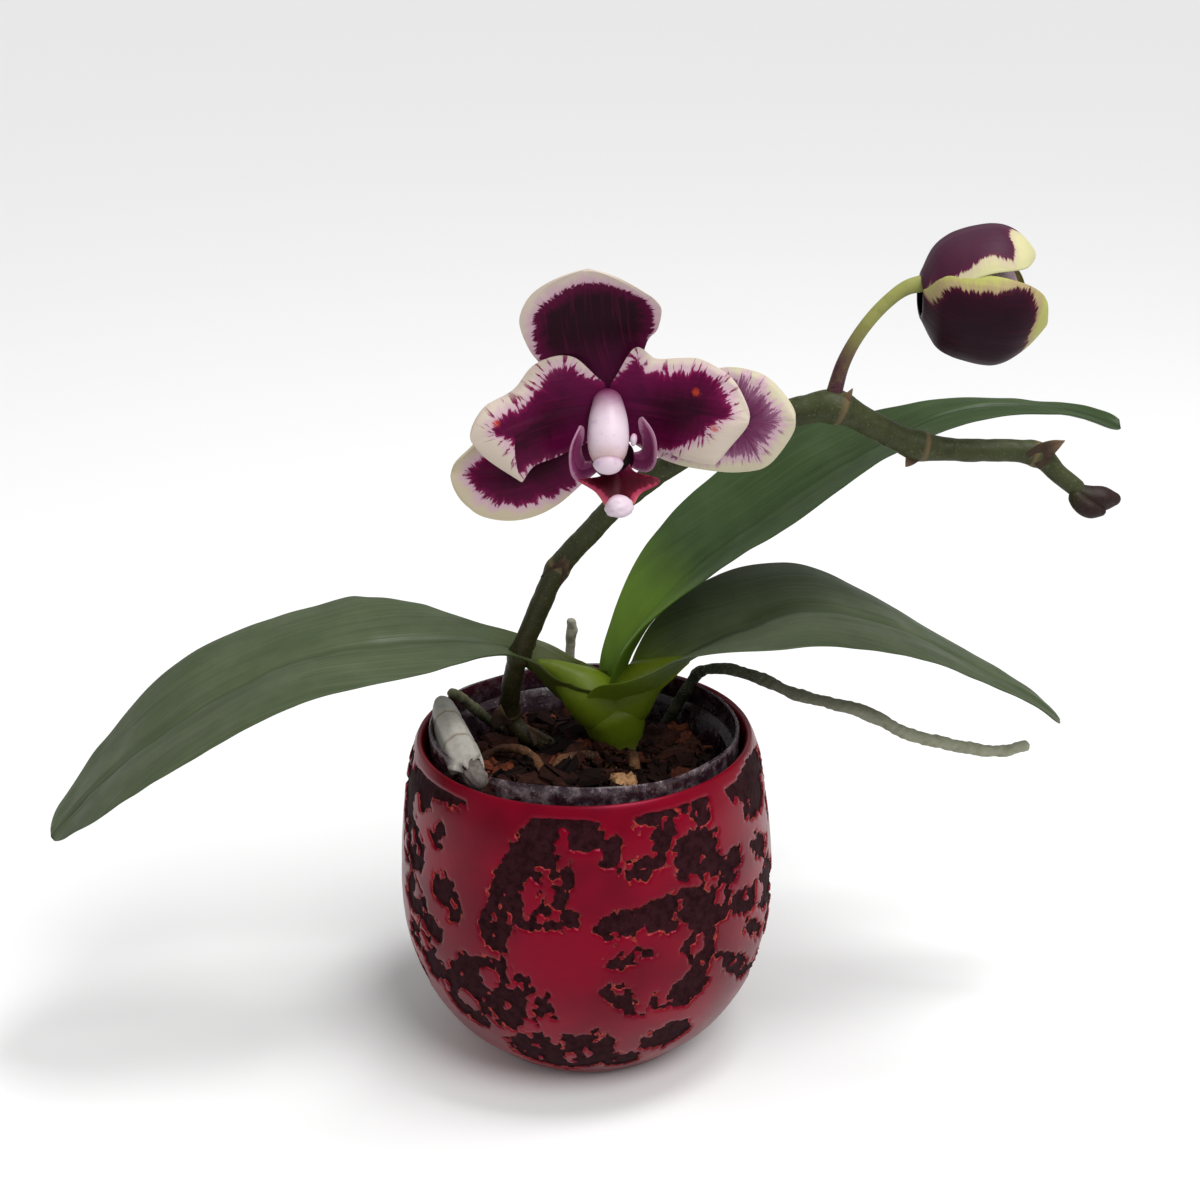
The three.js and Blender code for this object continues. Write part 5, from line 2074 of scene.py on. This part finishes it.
@dataclass
class Sleeve:
    """Loose silver skin of an old root on the rim, split at its end and painted near black inside as shade, and
    the fibres inside it.
    """

    path: Sequence[Point] = (
        (-42.4, 14, 102.6),
        (-40, 3, 100.4),
        (-37, -9, 99.6),
        (-34.6, -18, 99.4),
        (-32.6, -25, 97.6),
    )
    radii: Sequence[float] = (2.6, 4.2, 4.8, 5.0, 5.0)
    bands: Sequence[Point] = ((-39.6, 1, 100.4), (-35.4, -15, 99.6))
    band_width: float = 0.55
    wall: float = 0.6
    stops: int = 240
    core: Stalk = Stalk(
        [(-35.2, -16, 98.6), (-31.6, -24.6, 97.4), (-28.6, -30.4, 95.4)],
        (1.8, 3.0, 3.2, 2.6),
        rings=60,
        segments=36,
        flute=0.07,
        flutes=11,
        grain=0.15,
        grain_size=3.0,
    )

    def build(self) -> None:
        """Makes the skin and its core."""
        route = Route(self.path)
        sleeve, down, angle = ball("root_skin", 120, 64)
        outside = down <= 0.5
        stop = np.where(outside, 2 * down, 2 - 2 * down)
        first, second = route.crosswise(np.linspace(0, 1, self.stops + 1))
        cell = np.round(stop * self.stops).astype(int)
        radius = along(self.radii, stop) * rounded(stop, 0.1, 0.001)
        creased = 1 + 0.03 * np.sin(3 * angle + 4 * stop) + 0.02 * np.sin(9 * angle)
        tight = [np.exp(-(((stop - route.share_near(place)) / 0.03) ** 2)) for place in self.bands]
        pinched = 1 - 0.04 * sum(tight)
        radius = radius * creased * pinched
        radius = np.where(outside, radius, np.maximum(radius - self.wall, 0.02 * radius))
        ragged = (1.8 * np.sin(2 * angle + 0.4) + 0.8 * np.sin(7 * angle)) * smooth_step(stop, 0.75, 1.0)
        outwards = first[cell] * np.cos(angle)[:, None] + second[cell] * np.sin(angle)[:, None]
        points = route.at(stop) + outwards * radius[:, None] + route.heading(stop) * ragged[:, None]
        write_points(sleeve, points)
        face_outwards(sleeve)
        away = [(stop - route.share_near(place)) * route.length / self.band_width for place in self.bands]
        write_value(sleeve, "band", np.max([np.exp(-(each**2)) for each in away], axis=0))
        # The inner wall reads the far end of the colours, near black: painted shade in the hollow.
        write_value(sleeve, "share", np.where(outside, 0.2, 1.0))
        write_value(sleeve, "distance", stop * route.length)
        smooth(sleeve)
        # Silver outside; the near-black end colour is painted shade on the inner wall.
        skin = StemSkin(
            "root_skin_silver_painted_shade_inside",
            (166, 162, 154),
            (20, 18, 17),
            fade=0.1,
            speckle=(190, 187, 180),
            speckles=0.3,
            mottle=(122, 116, 106),
            mottled=0.35,
            rough=0.6,
            band=(112, 88, 62),
        )
        settle(sleeve, skin.material(), Slot.ROOT_SILVER, "root_sleeve")
        fibres = StemSkin(
            "root_fibres",
            (66, 60, 56),
            (118, 110, 104),
            speckle=(150, 144, 136),
            mottle=(36, 32, 30),
            mottled=0.5,
            rough=0.7,
        )
        core = self.core.build("root_fibre_core", 97)
        settle(core, fibres.material(), Slot.ROOT_SILVER, "root_sleeve_core")


# Floor, light and camera


@dataclass
class Studio:
    """A pale floor, soft light from above and the front, and the camera."""

    floor_size: float = 6000.0
    floor_colour: Colour = (244, 244, 244)
    floor_shade: Colour = (232, 232, 232)
    sky: float = 0.5
    sun_strength: float = 1.6
    sun_width: float = 30.0
    sun_heading: Point = (-0.5, 0.75, -1.15)
    key_energy: float = 4.6
    key_place: Point = (240.0, -60.0, 1000.0)
    key_size: float = 260.0
    elevation: float = 21.66
    distance: float = 621.0
    target: Point = (5.2, 0.0, 138.8)
    roll: float = -0.91
    focal_pixels: float = 2182.0
    image_pixels: float = 1200.0
    sensor: float = 36.0

    def _floor(self) -> None:
        """Lays the floor."""
        deselect()
        bpy.ops.mesh.primitive_plane_add(size=self.floor_size * METRES)
        floor = bpy.context.object
        floor.name = "floor"
        make = Recipe("floor_paper", Roughness=0.9, Specular_IOR_Level=0.1)
        cloud = make.times(make.noise(400, 2), 0.1)
        make.to("Base Color", make.mix(cloud, self.floor_colour, self.floor_shade))
        floor.data.materials.append(make.material)

    def _light(self, name: str, place: Point, size: float, energy: float) -> None:
        """Hangs a square soft light that looks at the plant."""
        light = bpy.data.lights.new(name, "AREA")
        light.size = size * METRES
        light.energy = energy
        holder = bpy.data.objects.new(name, light)
        bpy.context.scene.collection.objects.link(holder)
        holder.location = Vector(place) * METRES
        aim = Vector(self.target) * METRES - holder.location
        holder.rotation_euler = aim.to_track_quat("-Z", "Y").to_euler()

    def _camera(self) -> None:
        """Sets the camera at the photograph's angle."""
        lens = bpy.data.cameras.new("camera")
        lens.sensor_width = self.sensor
        lens.lens = self.sensor * self.focal_pixels / self.image_pixels
        lens.clip_start, lens.clip_end = 0.02, 20.0
        holder = bpy.data.objects.new("camera", lens)
        bpy.context.scene.collection.objects.link(holder)
        tilt = math.radians(self.elevation)
        back = Vector((0, -math.cos(tilt), math.sin(tilt)))
        turn = (-back).to_track_quat("-Z", "Y").to_matrix()
        turn = turn @ Matrix.Rotation(math.radians(self.roll), 3, "Z")
        place = (Vector(self.target) + back * self.distance) * METRES
        holder.matrix_world = Matrix.Translation(place) @ turn.to_4x4()
        bpy.context.scene.camera = holder

    def build(self) -> None:
        """Sets up the floor, the lights, the sky and the camera."""
        self._floor()
        self._light("top_light", self.key_place, self.key_size, self.key_energy)
        sun = bpy.data.lights.new("sun", "SUN")
        sun.energy = self.sun_strength
        sun.angle = math.radians(self.sun_width)
        holder = bpy.data.objects.new("sun", sun)
        bpy.context.scene.collection.objects.link(holder)
        holder.rotation_euler = Vector(self.sun_heading).to_track_quat("-Z", "Y").to_euler()
        world = bpy.data.worlds.new("sky")
        bpy.context.scene.world = world
        world.use_nodes = True
        world.node_tree.nodes["Background"].inputs["Color"].default_value = (1, 1, 1, 1)
        world.node_tree.nodes["Background"].inputs["Strength"].default_value = self.sky
        bpy.context.scene.view_settings.view_transform = "Standard"
        self._camera()


def leaves() -> list[Leaf]:
    """Gives the three strap leaves."""
    return [
        Leaf("left_leaf", "leaf_left", LEFT_LEAF, LeafSkin("left_leaf_skin", base=(62, 70, 14)), 61),
        Leaf(
            "lower_right_leaf",
            "leaf_lower_right",
            LOWER_RIGHT_LEAF,
            LeafSkin("lower_leaf_skin", base=(92, 112, 16), base_end=14, base_fade=26),
            63,
        ),
        Leaf(
            "upper_right_leaf",
            "leaf_upper_right",
            UPPER_RIGHT_LEAF,
            LeafSkin(
                "upper_leaf_skin",
                green=(46, 66, 30),
                shade=(34, 50, 20),
                light=(74, 90, 58),
                base=(84, 112, 30),
            ),
            65,
        ),
    ]


def main() -> None:
    """Builds the plant, its pots and the studio."""
    logging.basicConfig(level=logging.INFO, format="%(name)s %(message)s")
    assemblies = [
        Studio(),
        GlazedPot(),
        NurseryPot(),
        Bark(),
        Crown(),
        *leaves(),
        Spike(),
        Pedicels(),
        Flower(),
        Bud(),
        *roots(),
        Sleeve(),
    ]
    for assembly in assemblies:
        assembly.build()


if __name__ == "__main__":
    main()
